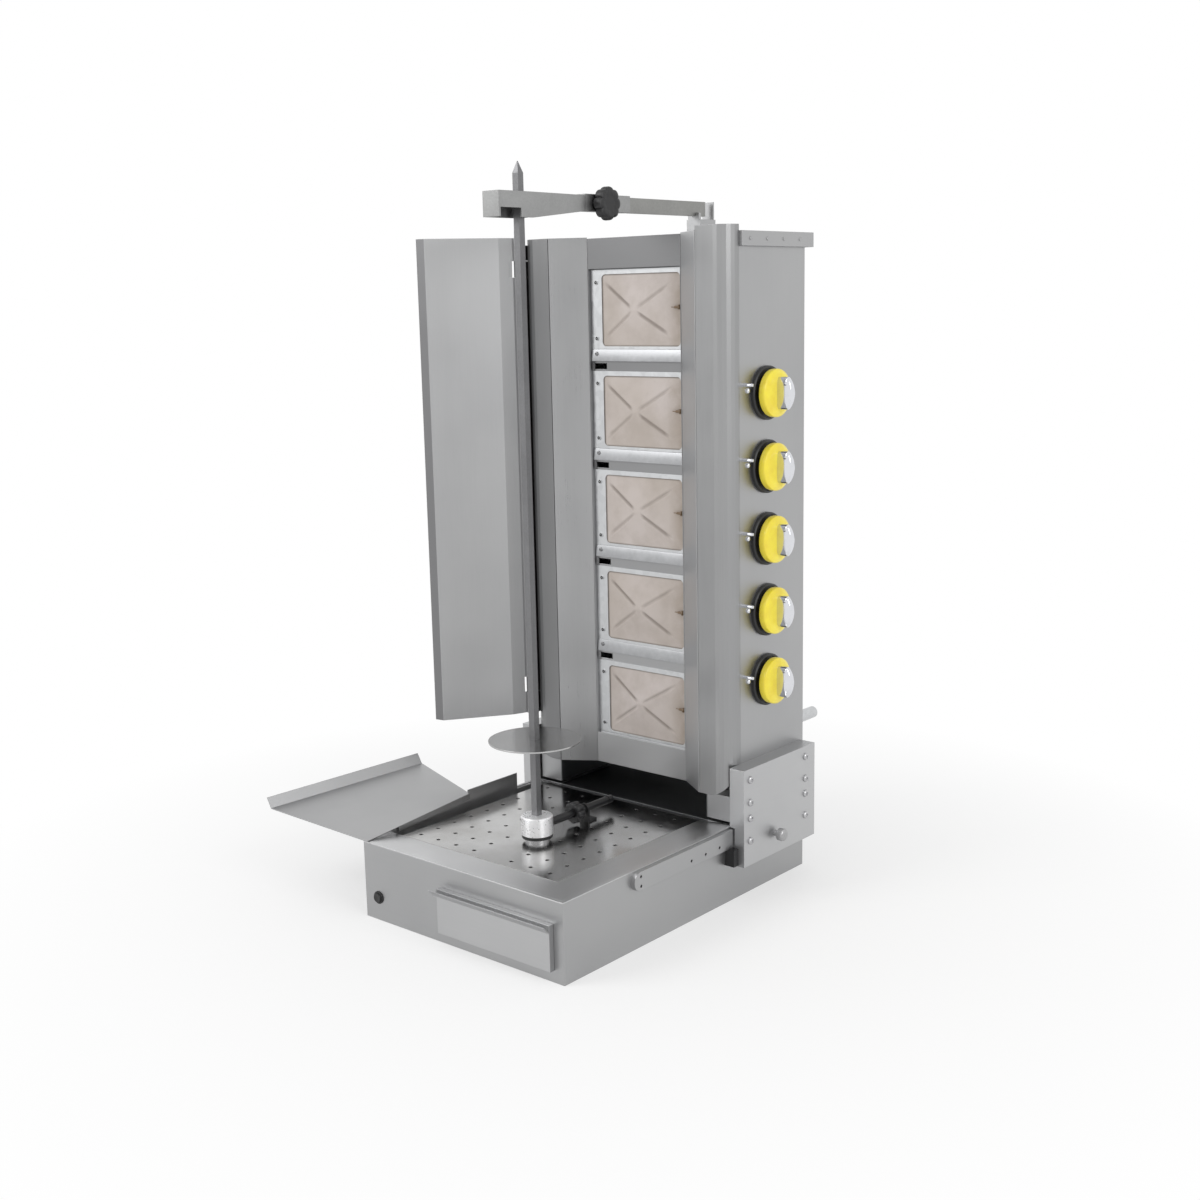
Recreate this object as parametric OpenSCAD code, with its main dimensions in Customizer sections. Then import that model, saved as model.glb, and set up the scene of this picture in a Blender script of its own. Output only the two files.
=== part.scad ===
/* [Base] */
// Width of the base box and of the burner column
body_w = 450; // [420:5:500]
// Depth of the base box, front to back
base_d = 652; // [640:4:700]
// Height of the base box
base_h = 133; // [130:1:150]
// Thickness of the stainless sheet
sheet_t = 1.5; // [1.2:0.1:2]
// Width of the flat ledge that carries the pan
ledge_w = 14; // [10:1:18]

/* [Fat pan and floor plate] */
// Width of the sloping rim along the right side
rim_right_w = 70; // [60:1:80]
// Width of the sloping rim along the front
rim_front_w = 66; // [58:1:72]
// Height that the rim falls from the edge to the well
rim_drop = 4; // [3:0.5:6]
// Depth of the well under the base's top edge
well_depth = 25; // [22:1:28]
// Place of the back wall of the well
pan_back_y = 112; // [105:1:120]
// Open gutter along the left wall of the well
gutter_w = 20; // [16:1:24]
// Height of the splash wall on the left, behind the tray
splash_h = 27; // [22:1:30]
// Place of the back end of the splash wall
splash_back_y = 45; // [30:1:48]
// Diameter of the drain holes in the floor plate
drain_d = 7; // [5:0.5:9]
// Distance between drain holes across the plate
drain_pitch_x = 42.6; // [38:0.2:48]
// Distance between rows of drain holes
drain_pitch_y = 40; // [36:0.5:46]

/* [Drawer] */
// Width of the drawer's front
drawer_w = 245; // [220:5:250]
// Height of the drawer's front
drawer_h = 75; // [65:1:80]
// Gap from the right side of the base to the drawer's front
drawer_inset = 20; // [15:1:30]
// Height of the drawer's lower edge above the ground
drawer_z = 20; // [15:1:24]
// Depth of the drawer's box
drawer_depth = 112; // [90:1:115]
// How far the handle lip stands out of the drawer's front
lip_out = 12; // [8:1:18]
// Height of the handle lip
lip_h = 13; // [10:1:18]

/* [Drive and spit] */
// Place of the spit's axis, measured from the middle of the base
spit_y = -138; // [-142:1:-134]
// Radius of the hub
hub_r = 27; // [25:0.5:28]
// Height of the hub
hub_h = 32; // [30:1:36]
// Radius of the drive shaft
shaft_r = 12; // [10:0.5:13]
// Teeth on the drive gear, four times those of the pinion
gear_teeth = 60; // [60]
// Tooth module of the gear pair
gear_module = 1.6; // [1.5:0.05:1.65]
// Width of the gears' teeth
gear_w = 12; // [10:1:14]
// Side of the square spit bar
spit_side = 12; // [11:0.5:13]
// Height of the spit's point above the ground
spit_top = 1233; // [1215:1:1250]
// Radius of the meat disc
disc_r = 77; // [70:1:85]
// Height of the meat disc above the ground
disc_z = 303; // [280:1:330]

/* [Lock rod] */
// Radius of the rod that locks the hub
lock_rod_r = 7; // [6:0.5:8]
// Place of the rod's back end
lock_rod_back_y = 54; // [48:1:60]
// Place of the lug that holds the rod
lug_y = -19; // [-22:1:-16]
// Radius of the star grip on the rod
lock_grip_r = 19; // [17:0.5:20]

/* [Burner column] */
// Height of the column's top above the ground
column_top = 1124; // [1110:1:1150]
// Height of the column's underside above the base's top edge
column_lift = 49; // [45:1:53]
// Place of the column's front, measured from the middle of the base
column_front_y = 102; // [98:1:106]
// Place of the column's back
column_back_y = 325; // [320:1:326]
// Depth of the burner recess behind the front
recess_d = 38; // [34:1:42]
// Half width of the burner recess at its back
recess_half = 102; // [98:1:106]
// Half width of the burner recess at its mouth
mouth_half = 159; // [150:1:165]
// Height of the upper front panel
top_panel_h = 52; // [46:1:58]
// Height of the lower front panel
low_panel_h = 56; // [50:1:60]
// Height of the lid's lip
lid_lip_h = 24; // [20:1:28]
// How far the lid stands over the sides
lid_over = 6; // [4:0.5:8]

/* [Burners] */
// Number of burners
burner_count = 5; // [5]
// Height of the middle of the lowest burner
burner_z = 305; // [300:1:310]
// Distance between burners
burner_pitch = 174; // [170:1:176]
// Half width of a ceramic tile's window
tile_half_w = 86; // [82:0.5:86.5]
// Height of a ceramic tile's window
tile_h = 123; // [116:1:125]
// Width of a burner frame's upper strip
frame_top_w = 8; // [6:0.5:9]
// Width of a burner frame's lower strip
frame_low_w = 26; // [22:1:28]
// How far the middle of a burner's screen stands out
screen_rise = 9; // [6:1:10]
// Rounding of the window's corners
window_r = 8; // [5:1:12]

/* [Gas knobs] */
// Height of the lowest knob
knob_z = 371; // [365:1:376]
// Distance between knobs
knob_pitch = 122.7; // [118:0.5:126]
// Radius of a knob's yellow dial
knob_r = 40; // [36:0.5:43]
// Radius of the black bezel behind a knob
bezel_r = 45; // [44:0.5:48]

/* [Wing] */
// Length of the wing from its hinge to the fold at its free edge
wing_w = 164; // [150:1:180]
// Height of the wing's lower edge above the ground
wing_z = 262; // [250:1:280]
// Height of the wing
wing_h = 868; // [840:1:872]
// Angle of the wing to the column's front, as it stands open
wing_open = 235; // [225:1:245]

/* [Catch tray] */
// How far the tray reaches out to the left at its front
tray_reach = 254; // [220:1:260]
// Length of the tray along the base
tray_len = 243; // [230:1:250]
// Slope of the tray, up away from the base
tray_roll = 1.2; // [1:0.1:3]

/* [Spit arm] */
// Height of the middle of the arm's bar
arm_z = 1174; // [1170:1:1178]
// Thickness of the arm's bar
arm_t = 10; // [8:0.5:12]
// Height of the arm's bar
arm_h = 25; // [22:1:28]
// Place of the bar's back end
arm_back_y = 340; // [338:1:346]
// Height of the fork's loop
loop_h = 39; // [34:1:42]
// Half width of the fork's loop
loop_half = 17; // [16:0.5:20]
// Radius of the star grip on the fork
arm_grip_r = 27; // [24:0.5:29]

/* [Side brackets] */
// How far the brackets stand out of the sides
bracket_out = 30; // [28:1:34]
// Height of a bracket's lower edge above the ground
bracket_z = 66; // [60:1:72]
// Height of a bracket's upper edge above the ground
bracket_top = 237; // [230:1:245]
// Length of a bracket, front to back
bracket_len = 217; // [210:1:219]
// Height of the slide rail
rail_h = 32; // [28:1:34]
// Thickness of the slide rail
rail_t = 8; // [6:0.5:10]
// Place of the rail's front end
rail_front_y = -165; // [-175:1:-150]

/* [Hidden] */

$fn = 48;
// Small gap between sheets that lie on each other but belong to different bodies
gap = 0.3;
// Running clearance of a shaft in its bore
run = 0.05;
// How far a cut runs past the face that it opens
cut = 1;
// Thickness of a folded strap and of a bracket's plate
strap_t = 3;

half_w = body_w / 2;
front_y = -base_d / 2;
back_y = base_d / 2;
top_z = base_h - sheet_t;

well_left = -half_w + 3 * sheet_t;
well_right = half_w - rim_right_w;
well_front = front_y + rim_front_w;
well_floor = base_h - well_depth;
rim_low_z = base_h - rim_drop;
// Flat strip of the pan that lies on the base's walls
rim_flat = 6;

plate_left = well_left + gutter_w;
plate_right = well_right - gap;
plate_front = well_front + gap;
plate_back = pan_back_y - sheet_t - gap;
plate_top = rim_low_z + gap;
// Bare border of the floor plate around its holes
plate_border = 22;

shaft_play = 2;
collar_play = 6;
collar_r = shaft_r + collar_play;
collar_h = 12;
hub_ring_h = 12.5;
ring_in = 1;
hub_ring_r = hub_r - ring_in;
foot_in = 6;
hub_foot_r = hub_r - foot_in;
hub_foot_h = 7;
hub_z = plate_top + hub_ring_h + gap;
hub_top = hub_z + hub_h;
// Depth of the square socket for the spit in the hub
socket_h = 20;
socket_gap = 0.05;

gear_r = gear_module * gear_teeth / 2;
pinion_teeth = gear_teeth / 4;
pinion_r = gear_module * pinion_teeth / 2;
pinion_y = spit_y + gear_r + pinion_r;
tooth_play_share = 0.46;
pressure_angle = 20;
gearbox_wall = 6;
gearbox_top = well_floor - sheet_t;
gear_over = 4;
gear_z = gearbox_top - gearbox_wall - gear_w - gear_over;
gear_under = 6;
gearbox_z = gear_z - gearbox_wall - gear_under;
gearbox_side = 10;
gearbox_half = gear_r + gearbox_side;
pinion_side = 14;
pinion_half = pinion_r + pinion_side;
motor_r = 34;
motor_shaft_r = 6;
foot_bearing_h = 8;

drawer_right = half_w - drawer_inset;
drawer_left = drawer_right - drawer_w;
drawer_top = drawer_z + drawer_h;
// Room between the drawer's box and the opening that it runs in
drawer_play = 3;
drawer_front_t = 10;
drawer_side = 12;
drawer_step = 8;
lip_side = 8;
drawer_box_h = 58;
drawer_bay = [drawer_left + drawer_side - drawer_play, drawer_right - drawer_side + drawer_play];
runner_h = 4;
runner_w = 12;

button_x = -193;
button_z = 40;
button_r = 8;
button_out = 3;
button_len = 16;
bezel_ring_r = 11;
bezel_ring_t = 2.5;
gland_x = -150;
gland_z = 45;
gland_r = 8;
gland_nut_r = 12;
gland_len = 18;
vent_count = 8;
vent_x = -60;
vent_pitch = 16;
vent_w = 6;
vent_h = 40;
vent_z = 45;

lock_rod_up = 19;
lock_rod_z = base_h + lock_rod_up;
lock_rod_front_y = spit_y + hub_r + gap;
lug_t = 4;
lug_w = 20;
grip_t = 16;
lock_travel = 15;

column_z = base_h + column_lift;
col_in_y = column_front_y + recess_d;
lid_z = column_top - lid_lip_h;
// How far the shell's sides start behind the guards' faces
shell_back_set = 10;
shell_front_y = column_front_y + shell_back_set;
shell_top = column_top - sheet_t - gap;
skirt_in = 168;
skirt_up = 4;
skirt_z = base_h + skirt_up;
skirt_set = 3;
skirt_back = column_back_y - skirt_set;
panel_top_z = column_top - top_panel_h;
panel_low_z = column_z + low_panel_h;
panel_face_y = col_in_y;
frame_in = 6;
frame_y = col_in_y + frame_in;
frame_t = 2;
screen_t = 1;
// From the window's right edge to the recess's side
box_room = 6;
tile_y = frame_y + frame_t + screen_t + gap;
tile_t = 12;
frame_half_w = recess_half - sheet_t - gap;

window_mid = recess_half - box_room - tile_half_w;
box_side = 4;
box_half_w = tile_half_w + box_side;
box_over = 14;
box_h = tile_h + box_over;
box_d = 42;
guard_r = 29;
guard_corner_r = 46;
guard_over = 22;
guard_back_y = shell_front_y + guard_over;
// How far the left guard and the right one stand above the column
guard_rise = [2, 10];
guard_top_left = column_top + guard_rise[0];
guard_top_right = column_top + guard_rise[1];
reflector_top = guard_top_left;

knob_fore = 3;
knob_y = (column_front_y + column_back_y) / 2 - knob_fore;
stem_r = 5;
stem_flat = 3.6;
valve_r = 13;
valve_len = 36;
bezel_t = 7;
bezel_round = 2;
knob_gap = 5;
knob_push = 4;
dial_t = 15;
grip_out = 27;
grip_tall = 54;
grip_round = 34;
manifold_r = 10.65;
manifold_in = 24;
manifold_x = half_w - manifold_in;
manifold_back = 30;
manifold_y = knob_y + manifold_back;
inlet_z = 268;
inlet_out = 70;
thread_r = 10.48;
thread_len = 16;
tube_r = 4;
tube_side = 26;
tube_x = window_mid + box_half_w + tube_side;
injector_len = 12;
injector_r = 7;
injector_back = 30;
injector_y = tile_y + injector_back;

// How far the wing's hinge pin stands out of the column's side
pin_out = 9;
wing_x = -half_w - pin_out;
wing_y = 100;
wing_t = 1.5;
wing_pin_r = 3;
wing_roll_r = 5;
wing_pin_over = 14;
wing_bend_w = 33;
wing_bend = 14;
wing_fold_w = 18;
wing_fold = -45;
knuckle_h = 40;
tab_t = 3;
tab_h = 28;
tab_len = 60;

tray_t = 1.5;
tray_back_skew = 57;
tray_back_reach = 181;
tray_fold_w = 22;
tray_fold = 52;
hook_h = 9;
hook_in = 5;
tray_back_y = front_y + tray_len;
// Height of the step from the tray's seat to the top of the splash wall
tray_step = 7;
tray_pitch = atan((splash_h - tray_step) / (tray_len - rim_flat));

arm_lo = arm_z - arm_h / 2;
arm_hi = arm_z + arm_h / 2;
loop_top = arm_hi;
loop_lo = arm_hi - loop_h;
fork_t = 4;
// How far the fork's loop, neck and channel reach before and behind the spit
loop_fore = 62;
loop_aft = 17;
neck_aft = 149;
channel_aft = 262;
loop_front = spit_y - loop_fore;
loop_notch = 14;
loop_back = spit_y + loop_aft;
neck_back = spit_y + neck_aft;
channel_back = spit_y + channel_aft;
channel_half = arm_t / 2 + gap + fork_t;
arm_in_neck = 12;
arm_front_y = neck_back - arm_in_neck;
grip_aft = 190;
grip_y = spit_y + grip_aft;
grip_shank_r = 4;

bracket_x = half_w + bracket_out;
bracket_fore = 1;
bracket_front = column_front_y - bracket_fore;
bracket_back = bracket_front + bracket_len;
rail_drop = 1;
rail_top = top_z - rail_drop;
rail_low = rail_top - rail_h;
rail_set = 4;
rail_back = back_y - rail_set;
// Place of the clamp screw from the bracket's front and lower edges
clamp_in = 92;
clamp_up = 37;
clamp_y = bracket_front + clamp_in;
clamp_z = bracket_z + clamp_up;
clamp_r = 5;
clamp_head_r = 11;
clamp_chamfer = 2;
clamp_round = 3;
clamp_out = 22;
bolt_rows = [218, 178, 150, 110];
bolt_inset = [18, 187];
bolt_r = 4;
bolt_head_r = 6.5;
bolt_head_h = 4;

function burner_mid(i) = burner_z + i * burner_pitch;
function knob_mid(i) = knob_z + i * knob_pitch;

module slab(x, y, z) translate([x[0], y[0], z[0]]) cube([x[1] - x[0], y[1] - y[0], z[1] - z[0]]);
module rod_x(r, x, y, z) translate([x[0], y, z]) rotate([0, 90, 0]) cylinder(r = r, h = x[1] - x[0]);
module rod_y(r, x, y, z) translate([x, y[1], z]) rotate([90, 0, 0]) cylinder(r = r, h = y[1] - y[0]);
module rod_z(r, x, y, z) translate([x, y, z[0]]) cylinder(r = r, h = z[1] - z[0]);
module both_sides() {
    children();
    mirror([1, 0, 0]) children();
}

function unit(v) = v / norm(v);
function left_of(v) = [-v[1], v[0]];
function side_of(p, i) = left_of(unit(p[i + 1] - p[i]));
// Step from point i of a folded sheet's inner line to its outer line
function mitre(p, i, t) =
    let (before = side_of(p, max(i - 1, 0)), after = side_of(p, min(i, len(p) - 2)),
         middle = unit(before + after))
    middle * t / (middle * before);
function sheet_outline(p, t) = concat(p, [for (i = [len(p) - 1:-1:0]) p[i] + mitre(p, i, t)]);
function arc(centre, r, from, to) =
    [for (k = [0:6]) let (a = from + (to - from) * k / 6) centre + r * [cos(a), sin(a)]];

// Sheet folded along upright lines: p is its plan, t its thickness to the left of p
module folded(p, z, t) translate([0, 0, z[0]])
    linear_extrude(height = z[1] - z[0]) polygon(sheet_outline(p, t));

module rounded(w, h, r) {
    square([w - 2 * r, h], center = true);
    square([w, h - 2 * r], center = true);
    for (x = [-1, 1], y = [-1, 1]) translate([x * (w / 2 - r), y * (h / 2 - r)]) circle(r = r);
}

// Grip with eight lobes and a bore, standing on the XY plane
module star_grip(r, h, bore) linear_extrude(height = h) difference() {
    union() {
        circle(r = r * lobe_root_share);
        for (a = [0:45:315]) rotate(a) translate([r * (1 - lobe_share), 0]) circle(r = r * lobe_share);
    }
    circle(r = bore);
}
lobe_share = 0.24;
lobe_root_share = 0.84;

function flank(base, r) = let (t = sqrt(max(0, pow(r / base, 2) - 1))) t * 180 / PI - atan(t);
// Spur gear of involute teeth, with one tooth on the X axis
module spur(teeth, h) {
    pitch_r = gear_module * teeth / 2;
    base = pitch_r * cos(pressure_angle);
    root = pitch_r - root_share * gear_module;
    tip = pitch_r + tip_share * gear_module;
    half = tooth_play_share * 180 / teeth + flank(base, pitch_r);
    radii = [for (k = [0:4]) max(root, base) + (tip - max(root, base)) * k / 4];
    linear_extrude(height = h) polygon([for (i = [0:teeth - 1]) let (mid = i * 360 / teeth)
        each concat(
            [root * [cos(mid - half), sin(mid - half)]],
            [for (r = radii) let (a = mid - half + flank(base, r)) r * [cos(a), sin(a)]],
            [for (k = [4:-1:0]) let (r = radii[k], a = mid + half - flank(base, r)) r * [cos(a), sin(a)]],
            [root * [cos(mid + half), sin(mid + half)]])]);
}
root_share = 1.2;
tip_share = 0.95;

module base_shell() color("lightgray") difference() {
    slab([-half_w, half_w], [front_y, back_y], [0, top_z]);
    // Room inside, below the ledge and the back deck
    slab([-half_w + sheet_t, half_w - sheet_t], [front_y + sheet_t, back_y - sheet_t],
         [-cut, top_z - sheet_t]);
    // Opening over the pan, with a ledge round it
    slab([-half_w + sheet_t, half_w - ledge_w], [front_y + ledge_w, pan_back_y],
         [top_z - sheet_t - cut, top_z + cut]);
    // Opening for the drawer's box
    slab(drawer_bay, [front_y - cut, front_y + sheet_t + cut],
         [drawer_z + drawer_step - drawer_play, drawer_z + drawer_step + drawer_box_h + drawer_play]);
    // Hole for the push button
    rod_y(bezel_ring_r - bezel_ring_t, button_x, [front_y - cut, front_y + sheet_t + cut], button_z);
    // Hole for the mains cable's gland
    rod_y(gland_r, gland_x, [back_y - sheet_t - cut, back_y + cut], gland_z);
    // Air slots in the back wall
    for (i = [0:vent_count - 1])
        slab([vent_x + i * vent_pitch, vent_x + i * vent_pitch + vent_w],
             [back_y - sheet_t - cut, back_y + cut], [vent_z, vent_z + vent_h]);
}

module base_floor() color("silver")
    slab([-half_w + sheet_t, half_w - sheet_t], [front_y + sheet_t, back_y - sheet_t], [0, sheet_t]);

// Space between a rectangle on the rim's top and a smaller one on its low edge
module rim_funnel(x_top, y_top, z_top, x_low, y_low, z_low) hull() {
    slab(x_top, y_top, z_top);
    slab(x_low, y_low, z_low);
}

module drip_pan() color("gainsboro") {
    difference() {
        union() {
            // Rim that slopes from the base's edge down to the well
            rim_funnel([-half_w, half_w], [front_y, pan_back_y], [top_z, base_h],
                       [well_left - sheet_t, well_right + sheet_t],
                       [well_front - sheet_t, pan_back_y], [well_floor - sheet_t, rim_low_z]);
        }
        rim_funnel([-half_w + sheet_t, half_w - rim_flat], [front_y + rim_flat, pan_back_y + cut],
                   [base_h, base_h + cut],
                   [well_left, well_right], [well_front, pan_back_y + cut], [rim_low_z, base_h]);
        // Underside of the sloping sheet, outside the well
        difference() {
            rim_funnel([-half_w + sheet_t, half_w - ledge_w], [front_y + ledge_w, pan_back_y + cut],
                       [top_z - cut, top_z],
                       [well_left, well_right], [well_front, pan_back_y + cut],
                       [rim_low_z - sheet_t - cut, rim_low_z - sheet_t]);
            slab([well_left - sheet_t, well_right + sheet_t], [well_front - sheet_t, pan_back_y + cut],
                 [0, base_h]);
        }
        slab([-half_w - cut, well_left - sheet_t], [front_y - cut, back_y], [0, top_z]);
        slab([half_w - ledge_w, half_w + cut], [front_y - cut, back_y], [0, top_z]);
        slab([-half_w - cut, half_w + cut], [front_y - cut, front_y + ledge_w], [0, top_z]);
        slab([well_right + sheet_t, half_w + cut], [front_y - cut, back_y],
             [0, rim_low_z - sheet_t]);
        slab([-half_w - cut, half_w + cut], [front_y - cut, well_front - sheet_t],
             [0, rim_low_z - sheet_t]);
        slab([well_left, well_right], [well_front, pan_back_y - sheet_t], [well_floor, base_h + cut]);
        rod_z(collar_r, 0, spit_y, [0, base_h]);
    }
    // Splash wall on the left: it rises to the tray's back edge, then runs level
    translate([well_left, 0, 0]) rotate([90, 0, -90]) linear_extrude(height = sheet_t)
        polygon([[-well_front, rim_low_z - sheet_t], [-front_y - rim_flat, base_h - sheet_t],
                 [-front_y - rim_flat, base_h], [-tray_back_y, base_h + splash_h - tray_step],
                 [-tray_back_y, base_h + splash_h], [-splash_back_y, base_h + splash_h],
                 [-splash_back_y, rim_low_z - sheet_t]]);
    // Collar that keeps the fat away from the shaft
    difference() {
        rod_z(collar_r + sheet_t, 0, spit_y, [well_floor - sheet_t, well_floor + collar_h]);
        rod_z(collar_r, 0, spit_y, [0, base_h]);
    }
}

module floor_plate() color("silver") difference() {
    slab([plate_left, plate_right], [plate_front, plate_back], [well_floor, plate_top]);
    slab([plate_left + sheet_t, plate_right - sheet_t], [plate_front + sheet_t, plate_back - sheet_t],
         [well_floor - cut, plate_top - sheet_t]);
    rod_z(shaft_r + shaft_play, 0, spit_y, [well_floor, base_h]);
    for (i = [0:floor((plate_right - plate_left - 2 * plate_border) / drain_pitch_x)],
         j = [0:floor((plate_back - plate_front - 2 * plate_border) / drain_pitch_y)])
        let (x = plate_left + plate_border + i * drain_pitch_x,
             y = plate_front + plate_border + j * drain_pitch_y)
            if (norm([x, y - spit_y]) > hub_ring_r + drain_d && abs(x) > lug_w)
                rod_z(drain_d / 2, x, y, [plate_top - sheet_t - cut, plate_top + cut]);
}

module slide_rails() color("silver") both_sides() difference() {
    union() {
        slab([half_w, half_w + rail_t], [rail_front_y + rail_h / 2, rail_back], [rail_low, rail_top]);
        rod_x(rail_h / 2, [half_w, half_w + rail_t], rail_front_y + rail_h / 2, rail_mid);
    }
    for (z = [-1, 1]) rod_x(rail_hole_r, [half_w - cut, half_w + rail_t + cut],
                            rail_front_y + rail_h / 2, rail_mid + z * rail_h / 4);
    for (i = [0:2]) rod_x(rail_hole_r, [half_w - cut, half_w + rail_t + cut],
                          rail_front_y + rail_hole_start + i * rail_hole_pitch, rail_mid - rail_h / 6);
}
rail_mid = (rail_low + rail_top) / 2;
rail_hole_r = 2.5;
rail_hole_start = 148;
rail_hole_pitch = 39;

module catch_tray() color("gainsboro")
    translate([well_left, front_y + rim_flat, base_h + 2 * gap]) rotate([tray_pitch, tray_roll, 0]) {
        front = -rim_flat;
        back = tray_len - rim_flat;
        outer_front = [-tray_reach, front];
        outer_back = [-tray_back_reach, back + tray_back_skew];
        run_out = outer_back - outer_front;
        linear_extrude(height = tray_t)
            polygon([[hook_in, front], [hook_in, back], outer_back, outer_front]);
        // Edge turned up along the outside
        translate([outer_front[0], outer_front[1], 0]) rotate([0, 0, atan2(run_out[1], run_out[0])])
            rotate([tray_fold, 0, 0]) cube([norm(run_out), tray_fold_w, tray_t]);
        // Hook that reaches over the splash wall
        slab([hook_in - tray_t, hook_in], [rim_front_w, back], [-hook_h, tray_t]);
    }

module drawer_runners() color("silver")
    for (x = [drawer_left + drawer_side, drawer_right - drawer_side - runner_w]) {
        slab([x, x + runner_w], [front_y + 2 * sheet_t, runner_back],
             [drawer_z + drawer_step - gap - sheet_t, drawer_z + drawer_step - gap]);
        slab([x, x + sheet_t], [front_y + 2 * sheet_t, runner_back],
             [sheet_t, drawer_z + drawer_step - gap]);
    }
runner_back = front_y + drawer_depth + drawer_front_t;

module drawer() color("lightgray") {
    // Front, folded back at its four edges
    difference() {
        slab([drawer_left, drawer_right], [front_y - gap - drawer_front_t, front_y - gap],
             [drawer_z, drawer_top]);
        slab([drawer_left + sheet_t, drawer_right - sheet_t],
             [front_y - gap - drawer_front_t + sheet_t, front_y + cut],
             [drawer_z + sheet_t, drawer_top - sheet_t]);
    }
    // Handle lip, leaning out over the front
    translate([drawer_left - lip_side, front_y - gap - drawer_front_t, drawer_top])
        rotate([90, 0, 90]) linear_extrude(height = drawer_w + lip_side)
            polygon([[0, -lip_h], [-lip_out, 0], [-lip_out + sheet_t, 0], [sheet_t, -lip_h],
                     [sheet_t, -lip_h - sheet_t], [0, -lip_h - sheet_t]]);
    // Box behind the front, open at the top
    difference() {
        slab([drawer_left + drawer_side, drawer_right - drawer_side],
             [front_y - gap - drawer_front_t + sheet_t, front_y + drawer_depth],
             [drawer_z + drawer_step, drawer_z + drawer_step + drawer_box_h]);
        slab([drawer_left + drawer_side + sheet_t, drawer_right - drawer_side - sheet_t],
             [front_y - gap - drawer_front_t + 2 * sheet_t, front_y + drawer_depth - sheet_t],
             [drawer_z + drawer_step + sheet_t, drawer_top]);
    }
}

module gearbox() color("dimgray") difference() {
    slab([-gearbox_half, gearbox_half], [spit_y - gearbox_half, pinion_y + pinion_half],
         [gearbox_z, gearbox_top]);
    slab([-gearbox_half + gearbox_wall, gearbox_half - gearbox_wall],
         [spit_y - gearbox_half + gearbox_wall, pinion_y + pinion_half - gearbox_wall],
         [gearbox_z + gearbox_wall, gearbox_top - gearbox_wall]);
    rod_z(shaft_r + run, 0, spit_y, [gearbox_z + gearbox_wall / 2, gearbox_top + cut]);
    rod_z(motor_shaft_r + run, 0, pinion_y, [gearbox_z - cut, gearbox_z + gearbox_wall + cut]);
}

module gear_motor() color("darkslategray") difference() {
    union() {
        rod_z(motor_r, 0, pinion_y, [motor_z, gearbox_z - sheet_t]);
        rod_z(pinion_half, 0, pinion_y, [gearbox_z - 2 * sheet_t, gearbox_z]);
        // Terminal box on the motor's side
        slab([motor_r - terminal_w / 4, motor_r + terminal_w], [pinion_y - terminal_w, pinion_y + terminal_w],
             [motor_z + terminal_w / 2, gearbox_z - terminal_w / 2]);
    }
    rod_z(motor_shaft_r + run, 0, pinion_y, [gearbox_z - motor_bore, gearbox_z + cut]);
}
motor_z = 12;
motor_bore = 26;
terminal_w = 16;

module motor_pinion() color("silver") translate([0, pinion_y, 0]) {
    translate([0, 0, gear_z]) rotate([0, 0, 270]) spur(pinion_teeth, gear_w);
    cylinder_between(motor_shaft_r, gearbox_z - motor_bore + gap, gear_z + cut);
}
module cylinder_between(r, low, high) translate([0, 0, low]) cylinder(r = r, h = high - low);

module drive_gear() color("silver") translate([0, spit_y, 0]) {
    translate([0, 0, gear_z]) rotate([0, 0, 90 + 180 / gear_teeth]) spur(gear_teeth, gear_w);
    cylinder_between(shaft_r, gearbox_z + gearbox_wall / 2 + gap, hub_z + shaft_in_hub);
}
shaft_in_hub = 8;

module hub_ring() color("black") difference() {
    union() {
        rod_z(hub_foot_r, 0, spit_y, [plate_top, plate_top + hub_ring_h]);
        rod_z(hub_ring_r, 0, spit_y, [plate_top + hub_foot_h, plate_top + hub_ring_h]);
    }
    rod_z(shaft_r + shaft_play, 0, spit_y, [plate_top - cut, base_h + hub_ring_h]);
}

module spit_hub() color("whitesmoke") translate([0, spit_y, 0]) difference() {
    rotate_extrude() polygon([[0, hub_z], [hub_r, hub_z], [hub_r, hub_top - hub_edge],
                              [hub_r - hub_edge, hub_top], [0, hub_top]]);
    cylinder_between(shaft_r + socket_gap, hub_z - cut, hub_z + shaft_in_hub + socket_gap);
    translate([0, 0, hub_top - socket_h / 2 + cut / 2])
        cube([spit_side + 2 * socket_gap, spit_side + 2 * socket_gap, socket_h + cut], center = true);
}
hub_edge = 2;

module spit_bar() color("gray") translate([0, spit_y, 0]) {
    translate([-spit_side / 2, -spit_side / 2, hub_top - socket_h])
        cube([spit_side, spit_side, spit_top - tip_h - hub_top + socket_h]);
    translate([0, 0, spit_top - tip_h]) linear_extrude(height = tip_h, scale = tip_share_flat)
        square(spit_side, center = true);
}
tip_h = 18;
tip_share_flat = 0.08;

module meat_disc() color("silver") translate([0, spit_y, 0]) difference() {
    rotate_extrude() polygon([[0, disc_z + disc_t], [disc_r, disc_z + disc_t], [disc_r, disc_z],
                              [disc_collar_r, disc_z], [disc_collar_r, disc_z - disc_collar_h],
                              [0, disc_z - disc_collar_h]]);
    translate([0, 0, disc_z]) cube([spit_side + 2 * socket_gap, spit_side + 2 * socket_gap,
                                    4 * disc_collar_h], center = true);
}
disc_t = 2.5;
disc_collar_r = 12;
disc_collar_h = 14;

module rod_lug() color("dimgray") difference() {
    union() {
        slab([-lug_w / 2, lug_w / 2], [lug_y, lug_y + lug_t], [plate_top, lock_rod_z]);
        rod_y(lug_w / 2, 0, [lug_y, lug_y + lug_t], lock_rod_z);
        slab([-lug_w / 2, lug_w / 2], [lug_y, lug_y + lug_foot], [plate_top, plate_top + lug_t]);
    }
    rod_y(lock_rod_r + run, 0, [lug_y - cut, lug_y + lug_foot], lock_rod_z);
}
lug_foot = 22;

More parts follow.
